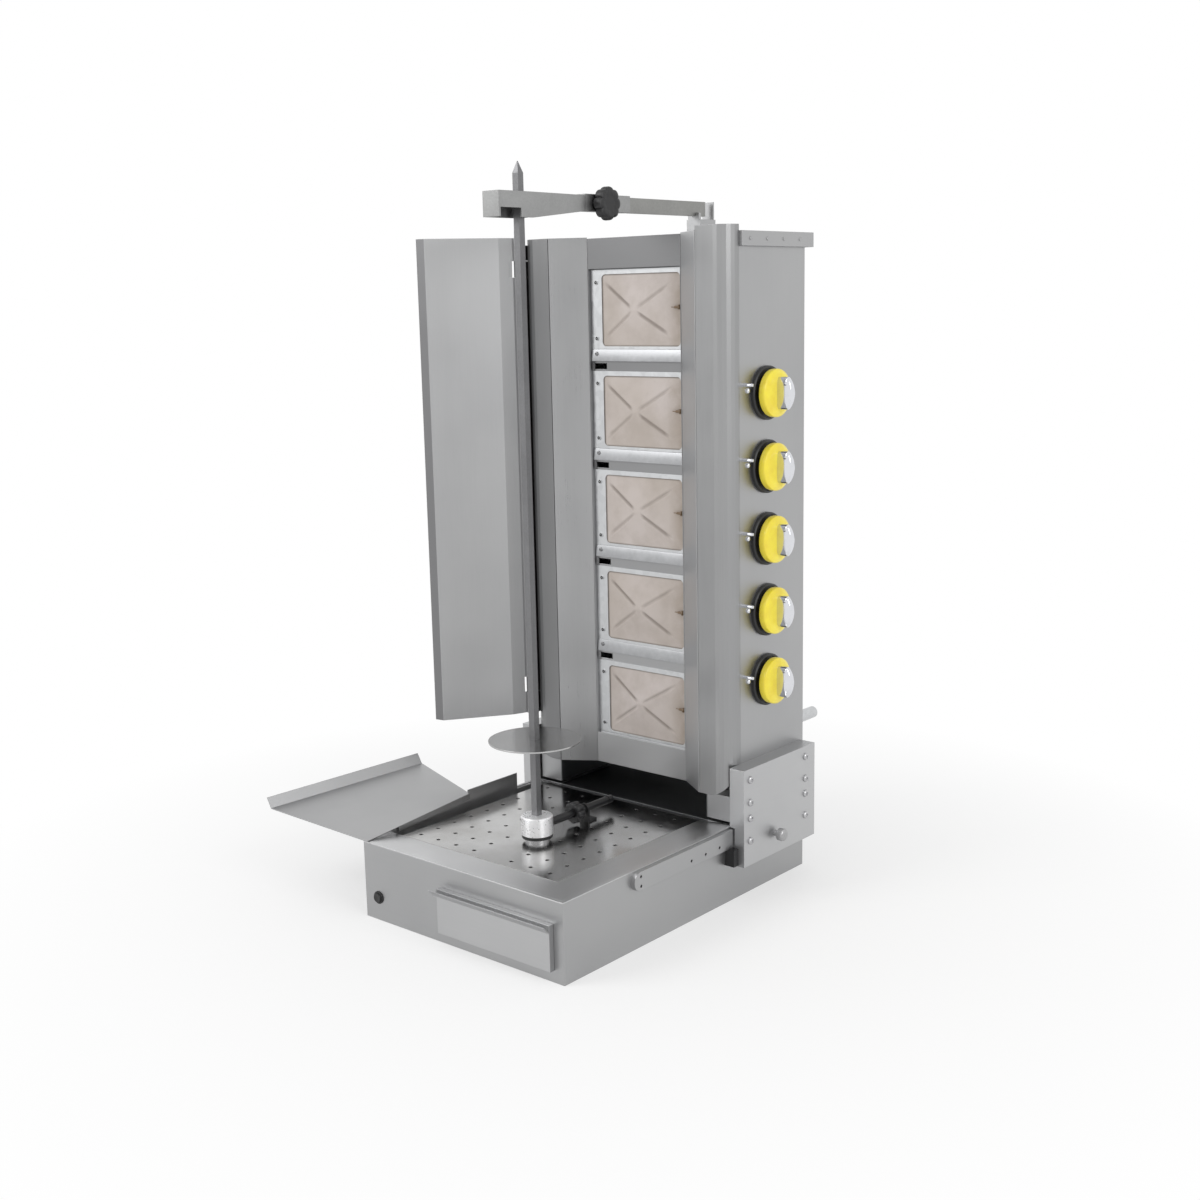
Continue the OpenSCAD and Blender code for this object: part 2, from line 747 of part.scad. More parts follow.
module lock_rod() color("black") difference() {
    rod_y(lock_rod_r, 0, [lock_rod_front_y, lock_rod_back_y], lock_rod_z);
    // Shallow groove near the back end
    difference() {
        rod_y(lock_rod_r + cut, 0,
              [lock_rod_back_y - 2 * lock_rod_r, lock_rod_back_y - 2 * lock_rod_r + lug_t],
              lock_rod_z);
        rod_y(lock_rod_r - sheet_t, 0, [lock_rod_front_y, lock_rod_back_y], lock_rod_z);
    }
}

module lock_grip() color("black")
    translate([0, lug_y - lock_travel - 2 * gap, lock_rod_z]) rotate([90, 0, 0])
    star_grip(lock_grip_r, grip_t, lock_rod_r + run);

module switch_bezel() color("black") difference() {
    union() {
        rod_y(bezel_ring_r, button_x, [front_y - bezel_ring_t, front_y], button_z);
        rod_y(bezel_ring_r - bezel_ring_t, button_x, [front_y, front_y + switch_len], button_z);
    }
    rod_y(button_r + run, button_x, [front_y - bezel_ring_t - cut, front_y + button_len], button_z);
}
switch_len = 30;

module switch_button() color("black")
    rod_y(button_r, button_x, [front_y - bezel_ring_t - button_out, front_y + button_len - 2 * button_out],
          button_z);

module cable_gland() color("black") {
    rod_y(gland_nut_r, gland_x, [back_y, back_y + gland_len / 2], gland_z);
    rod_y(gland_r, gland_x, [back_y - gland_len / 2, back_y + gland_len], gland_z);
}

skirt_side = 7;
skirt_out = half_w - skirt_side;
lid_side = half_w + lid_over;
lid_rear = 18;
lid_back = column_back_y + lid_rear;
post_half = 26;
rivet_r = 3;
rivet_h = 1.2;
rivet_pitch = 48;
cover_slots = 7;
cover_slot_w = 120;
cover_slot_h = 5;
cover_slot_pitch = 14;

module column_shell() color("darkgray") {
    difference() {
        both_sides() slab([half_w - sheet_t, half_w], [guard_back_y, column_back_y],
                          [column_z, shell_top]);
        for (i = [0:burner_count - 1])
            rod_x(hub_hole_r, [half_w - sheet_t - cut, half_w + cut], knob_y, knob_mid(i));
    }
    difference() {
        slab([-half_w + sheet_t, half_w - sheet_t], [col_in_y + 2 * sheet_t, column_back_y - sheet_t],
             [column_z, column_z + sheet_t]);
        // Air slots in the underside
        for (i = [-3:3]) slab([i * slot_pitch - slot_w / 2, i * slot_pitch + slot_w / 2],
                              [knob_y, knob_y + slot_len], [column_z - cut, column_z + sheet_t + cut]);
    }
    // Hollow skirts that carry the column above the back deck
    both_sides() difference() {
        slab([skirt_in, skirt_out], [shell_front_y, skirt_back], [skirt_z, column_z]);
        slab([skirt_in + sheet_t, skirt_out - sheet_t], [shell_front_y + sheet_t, skirt_back - sheet_t],
             [skirt_z - cut, column_z - sheet_t]);
    }
    // Wall that closes the space under the column at the back
    slab([-skirt_in, skirt_in], [skirt_back - sheet_t, skirt_back], [skirt_z, column_z]);
}
stem_play = 4;
hub_hole_r = stem_r + stem_play;
slot_pitch = 30;
slot_w = 6;
slot_len = 70;

module column_lid() color("lightgray") {
    difference() {
        translate([0, 0, column_top - sheet_t]) linear_extrude(height = sheet_t) polygon([
            [-lid_side, lid_back], [lid_side, lid_back],
            [lid_side, guard_back_y + gap], [half_w - sheet_t - gap, guard_back_y + gap],
            [half_w - sheet_t - gap, column_front_y + guard_r],
            [half_w - guard_r, column_front_y + sheet_t + gap],
            [mouth_half + sheet_t, column_front_y + sheet_t + gap],
            [recess_half + sheet_t, col_in_y + sheet_t + gap],
            [-recess_half - sheet_t, col_in_y + sheet_t + gap],
            [-mouth_half - sheet_t, column_front_y + sheet_t + gap],
            [-half_w + guard_r, column_front_y + sheet_t + gap],
            [-half_w + sheet_t + gap, column_front_y + guard_r],
            [-half_w + sheet_t + gap, guard_back_y + gap], [-lid_side, guard_back_y + gap]]);
        slab([-post_half, post_half], [column_back_y, lid_back + cut],
             [column_top - lid_lip_h, column_top + cut]);
        for (x = [-1, 1]) slab([x * flue_x - flue_w / 2, x * flue_x + flue_w / 2],
                               [knob_y - flue_len / 2, knob_y + flue_len / 2],
                               [column_top - 2 * sheet_t, column_top + cut]);
    }
    both_sides() {
        slab([lid_side - sheet_t, lid_side], [guard_back_y + gap, lid_back], [lid_z, column_top - sheet_t]);
        slab([post_half, lid_side - sheet_t], [lid_back - sheet_t, lid_back], [lid_z, column_top - sheet_t]);
        slab([half_w + gap, lid_side - sheet_t], [guard_back_y + gap, guard_back_y + gap + sheet_t],
             [lid_z, column_top - sheet_t]);
        for (i = [0:3]) rod_x(rivet_r, [half_w + gap, lid_side + rivet_h],
                              guard_back_y + rivet_pitch / 2 + i * rivet_pitch, lid_z + lid_lip_h / 2);
    }
}
flue_x = 110;
flue_w = 8;
flue_len = 90;

module rear_cover() color("silver") difference() {
    slab([-half_w + sheet_t, half_w - sheet_t], [column_back_y - sheet_t, column_back_y],
         [column_z, shell_top]);
    rod_y(manifold_r + gap, manifold_x, [column_back_y - sheet_t - cut, column_back_y + cut], inlet_z);
    for (row = [0:cover_slots - 1],
         z = [column_z + top_panel_h, lid_z - top_panel_h - cover_slots * cover_slot_pitch])
        slab([-cover_slot_w / 2, cover_slot_w / 2], [column_back_y - sheet_t - cut, column_back_y + cut],
             [z + row * cover_slot_pitch, z + row * cover_slot_pitch + cover_slot_h]);
}

module burner_panel() color("lightgray") {
    // Sides and back stand on the column's floor and end under its lid
    both_sides() slab([recess_half - sheet_t, recess_half], [col_in_y + sheet_t, frame_y + frame_t + sheet_t],
                      [column_z + sheet_t, shell_top]);
    both_sides() slab([recess_half - sheet_t, recess_half], [col_in_y, col_in_y + sheet_t],
                      [column_z, column_top]);
    slab([-recess_half + sheet_t, recess_half - sheet_t], [col_in_y, col_in_y + sheet_t],
         [panel_top_z, column_top]);
    slab([-recess_half + sheet_t, recess_half - sheet_t], [col_in_y, col_in_y + sheet_t],
         [column_z, panel_low_z]);
    difference() {
        slab([-recess_half + sheet_t, recess_half - sheet_t],
             [frame_y + frame_t, frame_y + frame_t + sheet_t], [column_z + sheet_t, shell_top]);
        for (i = [0:burner_count - 1])
            slab([window_mid - box_half_w - gap, recess_half - sheet_t], [frame_y, tile_y + tile_t],
                 [burner_mid(i) - box_h / 2 - gap, burner_mid(i) + box_h / 2 + gap]);
        // Slots at the left end of the strips between the burners
        for (i = [1:burner_count - 1])
            slab([-recess_half + slot_in, -recess_half + slot_in + strip_slot_w], [frame_y, tile_y + tile_t],
                 [strip_mid(i) - strip_slot_h / 2, strip_mid(i) + strip_slot_h / 2]);
    }
}

slot_in = 5;
strip_slot_w = 28;
strip_slot_h = 10;
// Height of the middle of the strip below burner i
function strip_mid(i) =
    (burner_mid(i) + burner_mid(i - 1) - frame_low_w + frame_top_w) / 2;

module reflector() translate([0, 0, column_z]) linear_extrude(height = reflector_top - column_z)
    polygon(sheet_outline([[recess_half + gap, col_in_y], [mouth_half, column_front_y]], sheet_t));
module reflector_right() color("whitesmoke") reflector();
module reflector_left() color("whitesmoke") mirror([1, 0, 0]) reflector();

// Front guard with its outer edge rolled back and its lower outer corner rounded
module guard(top) {
    start = mouth_half + sheet_t;
    intersection() {
        folded(concat([[start, column_front_y]],
                      arc([half_w - guard_r, column_front_y + guard_r], guard_r, -90, 0),
                      [[half_w, guard_back_y]]), [column_z, top], sheet_t);
        union() {
            slab([start, half_w], [column_front_y, guard_back_y], [column_z + guard_corner_r, top]);
            slab([start, half_w - guard_corner_r], [column_front_y, guard_back_y], [column_z, top]);
            rod_y(guard_corner_r, half_w - guard_corner_r, [column_front_y, guard_back_y],
                  column_z + guard_corner_r);
        }
    }
}
module guard_right() color("lightgray") guard(guard_top_right);
module guard_left() color("lightgray") mirror([1, 0, 0]) guard(guard_top_left);

module burner_frames() color("silver") for (i = [0:burner_count - 1]) translate([0, 0, burner_mid(i)]) {
    difference() {
        slab([-frame_half_w, frame_half_w], [frame_y, frame_y + frame_t],
             [-tile_h / 2 - frame_low_w, tile_h / 2 + frame_top_w]);
        translate([window_mid, frame_y + frame_t + cut, 0]) rotate([90, 0, 0])
            linear_extrude(height = frame_t + 2 * cut) rounded(2 * tile_half_w, tile_h, window_r);
        for (z = screw_places) rod_y(screw_r + run, screw_x, [frame_y - cut, frame_y + frame_t + cut], z);
    }
    for (z = screw_places) {
        rod_y(screw_r, screw_x, [frame_y - run, frame_y + frame_t], z);
        rod_y(screw_head_r, screw_x, [frame_y - screw_head_h, frame_y - run], z);
    }
}
screw_r = 1.6;
screw_head_r = 3.6;
screw_head_h = 1.8;
screw_x = (window_mid - tile_half_w - frame_half_w) / 2;
screw_rise = 48;
screw_places = [-screw_rise, screw_rise, -tile_h / 2 - frame_low_w / 2];

// Wire screen in front of each ceramic plate, creased into a low pyramid
module burner_screens() color("tan") for (i = [0:burner_count - 1])
    translate([window_mid, screen_y, burner_mid(i)]) difference() {
        union() {
            slab([-tile_hold_w, tile_hold_w], [0, screen_t], [-tile_hold_h, tile_hold_h]);
            screen_body();
        }
        translate([0, screen_t, 0]) screen_body();
    }
module screen_body() hull() {
    slab([-screen_w, screen_w], [0, screen_t], [-screen_h, screen_h]);
    slab([-screen_tip - window_mid, screen_tip - window_mid], [-screen_rise, screen_t],
         [-screen_tip, screen_tip]);
}
screen_y = frame_y + frame_t;
// Flat border of the screen inside the window
screen_in = 3;
screen_w = tile_half_w - screen_in;
screen_h = tile_h / 2 - screen_in;
screen_tip = 1;

module ceramic_tiles() color("bisque") for (i = [0:burner_count - 1])
    translate([window_mid, 0, burner_mid(i)])
        slab([-tile_hold_w, tile_hold_w], [tile_y, tile_y + tile_t], [-tile_hold_h, tile_hold_h]);
tile_hold_w = box_half_w - sheet_t - gap;
tile_hold_h = box_h / 2 - sheet_t - gap;

module burner_boxes() color("dimgray") for (i = [0:burner_count - 1])
    translate([window_mid, 0, burner_mid(i)]) {
    difference() {
        slab([-box_half_w, box_half_w], [frame_y + frame_t, frame_y + frame_t + box_d],
             [-box_h / 2, box_h / 2]);
        slab([-box_half_w + sheet_t, box_half_w - sheet_t],
             [frame_y, frame_y + frame_t + box_d - sheet_t], [-box_h / 2 + sheet_t, box_h / 2 - sheet_t]);
    }
    // Ledges that the tile rests on
    for (x = [-1, 1]) slab([x * (box_half_w - sheet_t - ledge_in / 2) - ledge_in / 2,
                            x * (box_half_w - sheet_t - ledge_in / 2) + ledge_in / 2],
                           [tile_y + tile_t + gap, tile_y + tile_t + gap + sheet_t],
                           [-box_h / 2 + sheet_t, box_h / 2 - sheet_t]);
    difference() {
        rod_x(injector_r, [box_half_w, box_half_w + injector_len], injector_y, 0);
        rod_x(tube_r + run, [box_half_w + injector_len / 2, box_half_w + injector_len + cut],
              injector_y, 0);
    }
}
ledge_in = 7;

module gas_valves() color("goldenrod") for (i = [0:burner_count - 1]) translate([0, 0, knob_mid(i)])
    difference() {
        union() {
            rod_x(valve_r, [half_w - sheet_t - valve_len, half_w - sheet_t], knob_y, 0);
            rod_x(hub_hole_r - gap, [half_w - sheet_t - cut, half_w], knob_y, 0);
            rod_y(valve_arm_r, manifold_x, [knob_y, manifold_y - riser_r / 2], 0);
            rod_x(valve_nose_r, [half_w - valve_len - valve_nose_len, half_w - valve_len], knob_y, 0);
        }
        rod_x(stem_r + run, [half_w - sheet_t - stem_in, half_w + cut], knob_y, 0);
        rod_x(tube_r + run, [half_w - valve_len - valve_nose_len - cut,
                             half_w - valve_len - valve_nose_len / 2], knob_y, 0);
    }
valve_arm_r = 6;
valve_nose_r = 7;
valve_nose_len = 14;
stem_in = 20;

module gas_manifold() color("goldenrod") {
    difference() {
        rod_z(riser_r, manifold_x, manifold_y,
              [inlet_z - 2 * manifold_r, knob_mid(burner_count - 1) + 2 * manifold_r]);
        for (i = [0:burner_count - 1])
            rod_y(valve_arm_r + run, manifold_x, [manifold_y - riser_r - cut, manifold_y - riser_r / 2 + run],
                  knob_mid(i));
    }
    // Inlet pipe to the rear, with a thread at its open end
    translate([manifold_x, manifold_y, inlet_z]) rotate([-90, 0, 0]) rotate_extrude() polygon([
        [0, 0], [manifold_r, 0], [manifold_r, inlet_len - thread_len], [thread_r, inlet_len - thread_len],
        [thread_r, inlet_len], [pipe_bore_r, inlet_len], [pipe_bore_r, riser_r + cut], [0, riser_r + cut]]);
}
inlet_len = column_back_y + inlet_out - manifold_y;
riser_r = 12;
pipe_bore_r = 8;

// Tube from each valve to its burner, with an elbow block at both turns
module gas_tubes() color("goldenrod") for (i = [0:burner_count - 1]) {
    rise = burner_mid(i) - knob_mid(i);
    back = knob_y - injector_y;
    rod_x(tube_r, [tube_x, half_w - valve_len - valve_nose_len / 2 - run], knob_y, knob_mid(i));
    rod_x(elbow_r, [tube_x - elbow_r, tube_x + elbow_r], knob_y, knob_mid(i));
    translate([tube_x, knob_y, knob_mid(i)]) rotate([atan2(back, rise), 0, 0])
        cylinder(r = tube_r, h = norm([rise, back]));
    rod_x(elbow_r, [tube_x - elbow_r, tube_x + elbow_r], injector_y, burner_mid(i));
    rod_x(tube_r, [window_mid + box_half_w + injector_len / 2 + run, tube_x], injector_y, burner_mid(i));
}
elbow_r = 6;

module knob_bezels() color("black") for (i = [0:burner_count - 1]) translate([half_w, knob_y, knob_mid(i)])
    rotate([0, 90, 0]) rotate_extrude() polygon([
        [hub_hole_r, 0], [bezel_r, 0], [bezel_r, bezel_t - bezel_round], [bezel_r - bezel_round, bezel_t],
        [bezel_r - bezel_rim, bezel_t], [bezel_r - bezel_rim, bezel_t / 2], [hub_hole_r, bezel_t / 2]]);
bezel_rim = 4;

knob_back_x = half_w + bezel_t + knob_gap;
knob_face_x = knob_back_x + dial_t;
stem_short = 2;
stem_end_x = knob_back_x + dial_t - stem_short;

// Round stem with a flat at the knob's end
module stem_shape(grow, x) difference() {
    rod_x(stem_r + grow, x, 0, 0);
    slab([max(x[0], knob_back_x - knob_push) - cut, x[1] + cut], [-2 * stem_r, 2 * stem_r],
         [stem_flat + grow, 2 * stem_r]);
}
module valve_stem(i) color("silver") translate([0, knob_y, knob_mid(i)])
    stem_shape(0, [half_w - sheet_t - stem_in + gap, stem_end_x]);

module gas_knob(i) color("gold") translate([0, knob_y, knob_mid(i)]) difference() {
    union() {
        translate([knob_back_x, 0, 0]) rotate([0, 90, 0]) rotate_extrude() polygon([
            [0, 0], [knob_r - dial_edge, 0], [knob_r, dial_edge], [knob_r, dial_t - dial_slope],
            [knob_r - 2 * dial_slope, dial_t], [0, dial_t]]);
        // Upright handle with a rounded outer side
        intersection() {
            slab([knob_back_x, knob_face_x + grip_out], [-handle_half, handle_half],
                 [-grip_tall / 2, grip_tall / 2]);
            rod_y(grip_round, knob_face_x + grip_out - grip_round, [-handle_half, handle_half], 0);
        }
    }
    difference() {
        rod_x(stem_r + run, [knob_back_x - cut, stem_end_x + knob_push + gap], 0, 0);
        slab([0, knob_face_x + grip_out], [-2 * stem_r, 2 * stem_r], [stem_flat + run, 2 * stem_r]);
    }
}
dial_edge = 1.5;
dial_slope = 4;
handle_half = 8;

module bracket() difference() {
    union() {
        slab([bracket_x - strap_t, bracket_x], [bracket_front, bracket_back], [bracket_z, bracket_top]);
        slab([half_w + gap, bracket_x - strap_t], [bracket_front, bracket_front + strap_t],
             [bracket_z, bracket_top]);
        slab([half_w + gap, bracket_x - strap_t], [bracket_back - strap_t, bracket_back],
             [bracket_z, bracket_top]);
        slab([half_w, bracket_x - strap_t], [bracket_front + strap_t, bracket_back - strap_t],
             [bracket_top - strap_t, bracket_top]);
    }
    slab([half_w - cut, half_w + rail_t + rail_play], [bracket_front - cut, bracket_back + cut],
         [rail_low - rail_play, rail_top + rail_play]);
    for (y = bolt_inset, z = bolt_rows)
        rod_x(bolt_r + run, [bracket_x - strap_t - cut, bracket_x + cut], bracket_front + y, z);
    rod_x(clamp_r + run, [bracket_x - strap_t - cut, bracket_x + cut], clamp_y, clamp_z);
}
rail_play = 2;
module bracket_right() color("lightgray") bracket();
module bracket_left() color("lightgray") mirror([1, 0, 0]) bracket();

module bracket_bolts() color("silver") both_sides() for (y = bolt_inset, z = bolt_rows) {
    rod_x(bolt_r, [bracket_x - strap_t - bolt_head_h, bracket_x + run], bracket_front + y, z);
    rod_x(bolt_head_r, [bracket_x + run, bracket_x + bolt_head_h], bracket_front + y, z);
}

module slide_pads() color("black") both_sides()
    slab([half_w + gap, half_w + pad_w], [bracket_front - pad_len, bracket_front],
         [bracket_z + pad_gap, rail_low - gap]);
pad_w = 18;
pad_len = 13;
pad_gap = 2;

module clamp_screw() {
    rod_x(clamp_r, [half_w + rail_t + gap, bracket_x + clamp_out - clamp_head_t], clamp_y, clamp_z);
    translate([bracket_x + clamp_out - clamp_head_t, clamp_y, clamp_z]) rotate([0, 90, 0])
        rotate_extrude() polygon([[0, 0], [clamp_head_r - clamp_chamfer, 0], [clamp_head_r, clamp_chamfer],
                                  [clamp_head_r, clamp_head_t - clamp_round],
                                  [clamp_head_r - clamp_round, clamp_head_t],
                                  [0, clamp_head_t]]);
}
clamp_head_t = 14;
module clamp_screw_right() color("black") clamp_screw();
module clamp_screw_left() color("black") mirror([1, 0, 0]) clamp_screw();

module arm_bar() color("dimgray") difference() {
    slab([-arm_t / 2, arm_t / 2], [arm_front_y, arm_back_y], [arm_lo, arm_hi]);
    slab([-arm_t, arm_t], [post_y - gap, post_y + post_t + gap], [arm_lo - cut, arm_lo + post_notch]);
}
post_y = 312;
post_t = 6;
post_notch = 6;
post_fold = 14;
post_rear_y = arm_back_y + post_fold;
post_foot = 90;
post_low_z = column_top - post_foot;

// Bracket that carries the bar: saddle in front, upright plate behind it
module arm_post() color("lightgray") {
    slab([-post_half + gap, post_half - gap], [post_foot_y, lid_back + post_t],
         [column_top, column_top + strap_t]);
    slab([-post_saddle, post_saddle], [post_y, post_y + post_t],
         [column_top + strap_t, arm_lo + post_notch - gap]);
    slab([-post_saddle, post_saddle], [post_y + post_t, lid_back],
         [column_top + strap_t, column_top + 3 * strap_t]);
    slab([-post_half + gap, post_half - gap], [column_back_y, column_back_y + strap_t],
         [post_low_z, column_top]);
    slab([-post_half + gap, post_half - gap], [lid_back + post_t, post_rear_y],
         [column_top, column_top + strap_t]);
    slab([-post_saddle, post_saddle], [post_rear_y, post_rear_y + strap_t], [column_top, arm_hi]);
    for (x = [-1, 1])
        slab([x * (post_saddle + strap_t / 2) - strap_t / 2,
              x * (post_saddle + strap_t / 2) + strap_t / 2],
             [post_y, post_rear_y + strap_t], [column_top + strap_t, arm_lo - post_notch]);
}
post_foot_y = 290;
post_saddle = 12;

module arm_fork() color("dimgray") difference() {
    union() {
        // Two straps that run from the channel, spread, and close in front of the spit
        intersection() {
            both_sides() folded([[arm_t / 2 + gap, channel_back], [arm_t / 2 + gap, neck_back],
                                 [loop_half - fork_t, loop_back], [loop_half - fork_t, loop_front + fork_t],
                                 [0, loop_front + fork_t]], [loop_lo, web_top], fork_t);
            translate([-loop_half, 0, 0]) rotate([90, 0, 90]) linear_extrude(height = 2 * loop_half)
                polygon([[loop_front, loop_lo], [loop_back, loop_lo], [neck_back, arm_lo],
                         [channel_back, arm_lo], [channel_back, web_top], [neck_back, web_top],
                         [neck_back - web_t, arm_hi], [loop_front, arm_hi]]);
        }
        // Web over the bar, on which the fork slides
        slab([-channel_half, channel_half], [neck_back, channel_back], [arm_hi + gap, web_top]);
    }
    // Notch in the right strap, in front of the spit
    slab([0, loop_half + cut], [loop_front + fork_t, spit_y - spit_side],
         [loop_lo - cut, loop_lo + loop_notch]);
    rod_x(grip_shank_r + run, [0, channel_half + cut], grip_y, arm_z);
}
web_t = 2;
web_top = arm_hi + gap + web_t;

module arm_grip() color("black") {
    rod_x(grip_shank_r, [arm_t / 2 + gap, channel_half + strap_t + cut], grip_y, arm_z);
    translate([channel_half + strap_t, grip_y, arm_z]) rotate([0, 90, 0])
        star_grip(arm_grip_r, grip_t, cut / 4);
}

wing_dir = function (a) [cos(a), sin(a)];
wing_start = [wing_x, wing_y] + (wing_roll_r - wing_t) * wing_dir(wing_open + wing_bend - 90);
wing_p1 = wing_start + wing_bend_w * wing_dir(wing_open + wing_bend);
wing_p2 = wing_p1 + (wing_w - wing_bend_w) * wing_dir(wing_open);
wing_p3 = wing_p2 + wing_fold_w * wing_dir(wing_open + wing_fold);
wing_top = wing_z + wing_h;
tab_lows = [wing_z + knuckle_h + gap, wing_top - knuckle_h - gap - tab_h];

module wing() color("lightgray") difference() {
    union() {
        folded([wing_start, wing_p1, wing_p2, wing_p3], [wing_z, wing_top], -wing_t);
        rod_z(wing_roll_r, wing_x, wing_y, [wing_z, wing_top]);
    }
    rod_z(wing_pin_r + run, wing_x, wing_y, [wing_z - cut, wing_top + cut]);
    for (z = tab_lows) rod_z(2 * wing_roll_r + tab_t, wing_x, wing_y, [z - gap, z + tab_h + gap]);
}

module wing_pin() color("gray") {
    rod_z(wing_pin_r, wing_x, wing_y, [wing_z - wing_pin_over, wing_top + wing_pin_over]);
    for (z = tab_lows) {
        rod_z(wing_roll_r, wing_x, wing_y, [z, z + tab_h]);
        slab([-half_w - tab_t, -half_w], [wing_y, wing_y + tab_len], [z, z + tab_h]);
        slab([wing_x, -half_w], [wing_y, wing_y + tab_t], [z, z + tab_h]);
    }
}

base_shell();
base_floor();
drip_pan();
floor_plate();
slide_rails();
catch_tray();
drawer_runners();
gearbox();
gear_motor();
hub_ring();
rod_lug();
switch_bezel();
cable_gland();
drawer();
switch_button();
lock_rod();
lock_grip();
motor_pinion();
drive_gear();
spit_hub();
spit_bar();
meat_disc();
column_shell();
column_lid();
rear_cover();
burner_panel();
reflector_left();
reflector_right();
guard_left();
guard_right();
burner_frames();
burner_screens();
ceramic_tiles();
burner_boxes();
gas_valves();
gas_manifold();
gas_tubes();
knob_bezels();
bracket_left();
bracket_right();
bracket_bolts();
slide_pads();
clamp_screw_left();
clamp_screw_right();
arm_bar();
arm_post();
arm_fork();
arm_grip();
wing();
wing_pin();
valve_stem(0);  // valve_stem_1
valve_stem(1);  // valve_stem_2
valve_stem(2);  // valve_stem_3
valve_stem(3);  // valve_stem_4
valve_stem(4);  // valve_stem_5
gas_knob(0);  // gas_knob_1
gas_knob(1);  // gas_knob_2
gas_knob(2);  // gas_knob_3
gas_knob(3);  // gas_knob_4
gas_knob(4);  // gas_knob_5
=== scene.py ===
import math

import bmesh
import bpy
import numpy as np
from mathutils import Matrix, Vector


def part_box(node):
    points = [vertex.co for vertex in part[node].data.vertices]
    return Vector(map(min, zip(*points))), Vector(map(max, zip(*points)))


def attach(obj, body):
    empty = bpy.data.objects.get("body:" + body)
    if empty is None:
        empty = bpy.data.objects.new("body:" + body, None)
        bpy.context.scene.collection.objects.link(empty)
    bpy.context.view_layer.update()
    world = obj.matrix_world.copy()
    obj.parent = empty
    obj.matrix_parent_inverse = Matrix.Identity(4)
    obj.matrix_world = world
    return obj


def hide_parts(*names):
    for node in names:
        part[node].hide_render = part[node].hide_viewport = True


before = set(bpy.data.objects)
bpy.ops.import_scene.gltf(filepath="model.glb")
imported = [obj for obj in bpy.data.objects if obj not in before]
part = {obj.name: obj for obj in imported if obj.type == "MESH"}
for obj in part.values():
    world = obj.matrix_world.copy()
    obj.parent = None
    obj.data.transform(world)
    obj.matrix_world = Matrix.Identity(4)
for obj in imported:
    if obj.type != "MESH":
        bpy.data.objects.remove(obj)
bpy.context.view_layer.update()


# The camera stands to the right and in front of the grill, a little above the middle of the column,
# and looks slightly down. Its turn, height and lens were fitted to the straight edges of the picture.
camera_spot = (1.700, -1.939, 1.019)
turn, rise, roll = math.radians(40.72), math.radians(10.99), math.radians(-1.21)
camera_data = bpy.data.cameras.new("studio_camera")
camera_data.sensor_width = 36
camera_data.lens = 46.32
camera_data.clip_end = 30
camera = bpy.data.objects.new("studio_camera", camera_data)
bpy.context.scene.collection.objects.link(camera)
bpy.context.scene.camera = camera
gaze = Vector((-math.sin(turn) * math.cos(rise), math.cos(turn) * math.cos(rise), -math.sin(rise)))
across = gaze.cross(Vector((0, 0, 1))).normalized()
upward = across.cross(gaze)
camera_x = math.cos(roll) * across + math.sin(roll) * upward
camera_y = math.cos(roll) * upward - math.sin(roll) * across
camera.matrix_world = Matrix.Translation(camera_spot) @ Matrix(
    (camera_x, camera_y, -gaze)).transposed().to_4x4()


# The studio has white surroundings and two wide soft lamps. Metal sees the same white as the camera
# does, so the sheet looks evenly grey, while the light that falls on the grill stays plain.
light_strength, seen_strength = 0.62, 1.0
world = bpy.data.worlds.new("studio")
bpy.context.scene.world = world
world.use_nodes = True
sky = world.node_tree
air = sky.nodes["Background"]
rays = sky.nodes.new("ShaderNodeLightPath")
seen = rays.outputs["Is Camera Ray"]
for kind in ("Is Glossy Ray", "Is Transmission Ray"):
    either = sky.nodes.new("ShaderNodeMath")
    either.operation = "MAXIMUM"
    sky.links.new(seen, either.inputs[0])
    sky.links.new(rays.outputs[kind], either.inputs[1])
    seen = either.outputs[0]
strength = sky.nodes.new("ShaderNodeMapRange")
strength.inputs["To Min"].default_value = light_strength
strength.inputs["To Max"].default_value = seen_strength
sky.links.new(seen, strength.inputs["Value"])
sky.links.new(strength.outputs[0], air.inputs["Strength"])
air.inputs["Color"].default_value = (1, 1, 1, 1)
bpy.context.scene.view_settings.view_transform = "Standard"


def soft_lamp(name, spot, target, width, watts):
    """Square area lamp of that width at spot, turned to target."""
    lamp = bpy.data.lights.new(name, "AREA")
    lamp.size, lamp.energy = width, watts
    holder = bpy.data.objects.new(name, lamp)
    bpy.context.scene.collection.objects.link(holder)
    holder.location = spot
    holder.rotation_euler = (Vector(target) - Vector(spot)).to_track_quat("-Z", "Y").to_euler()


soft_lamp("lamp_front_left", (-1.6, -2.6, 2.6), (0, 0, 0.5), 1.8, 46)
soft_lamp("lamp_right", (2.8, -0.6, 2.2), (0, 0, 0.6), 1.6, 26)


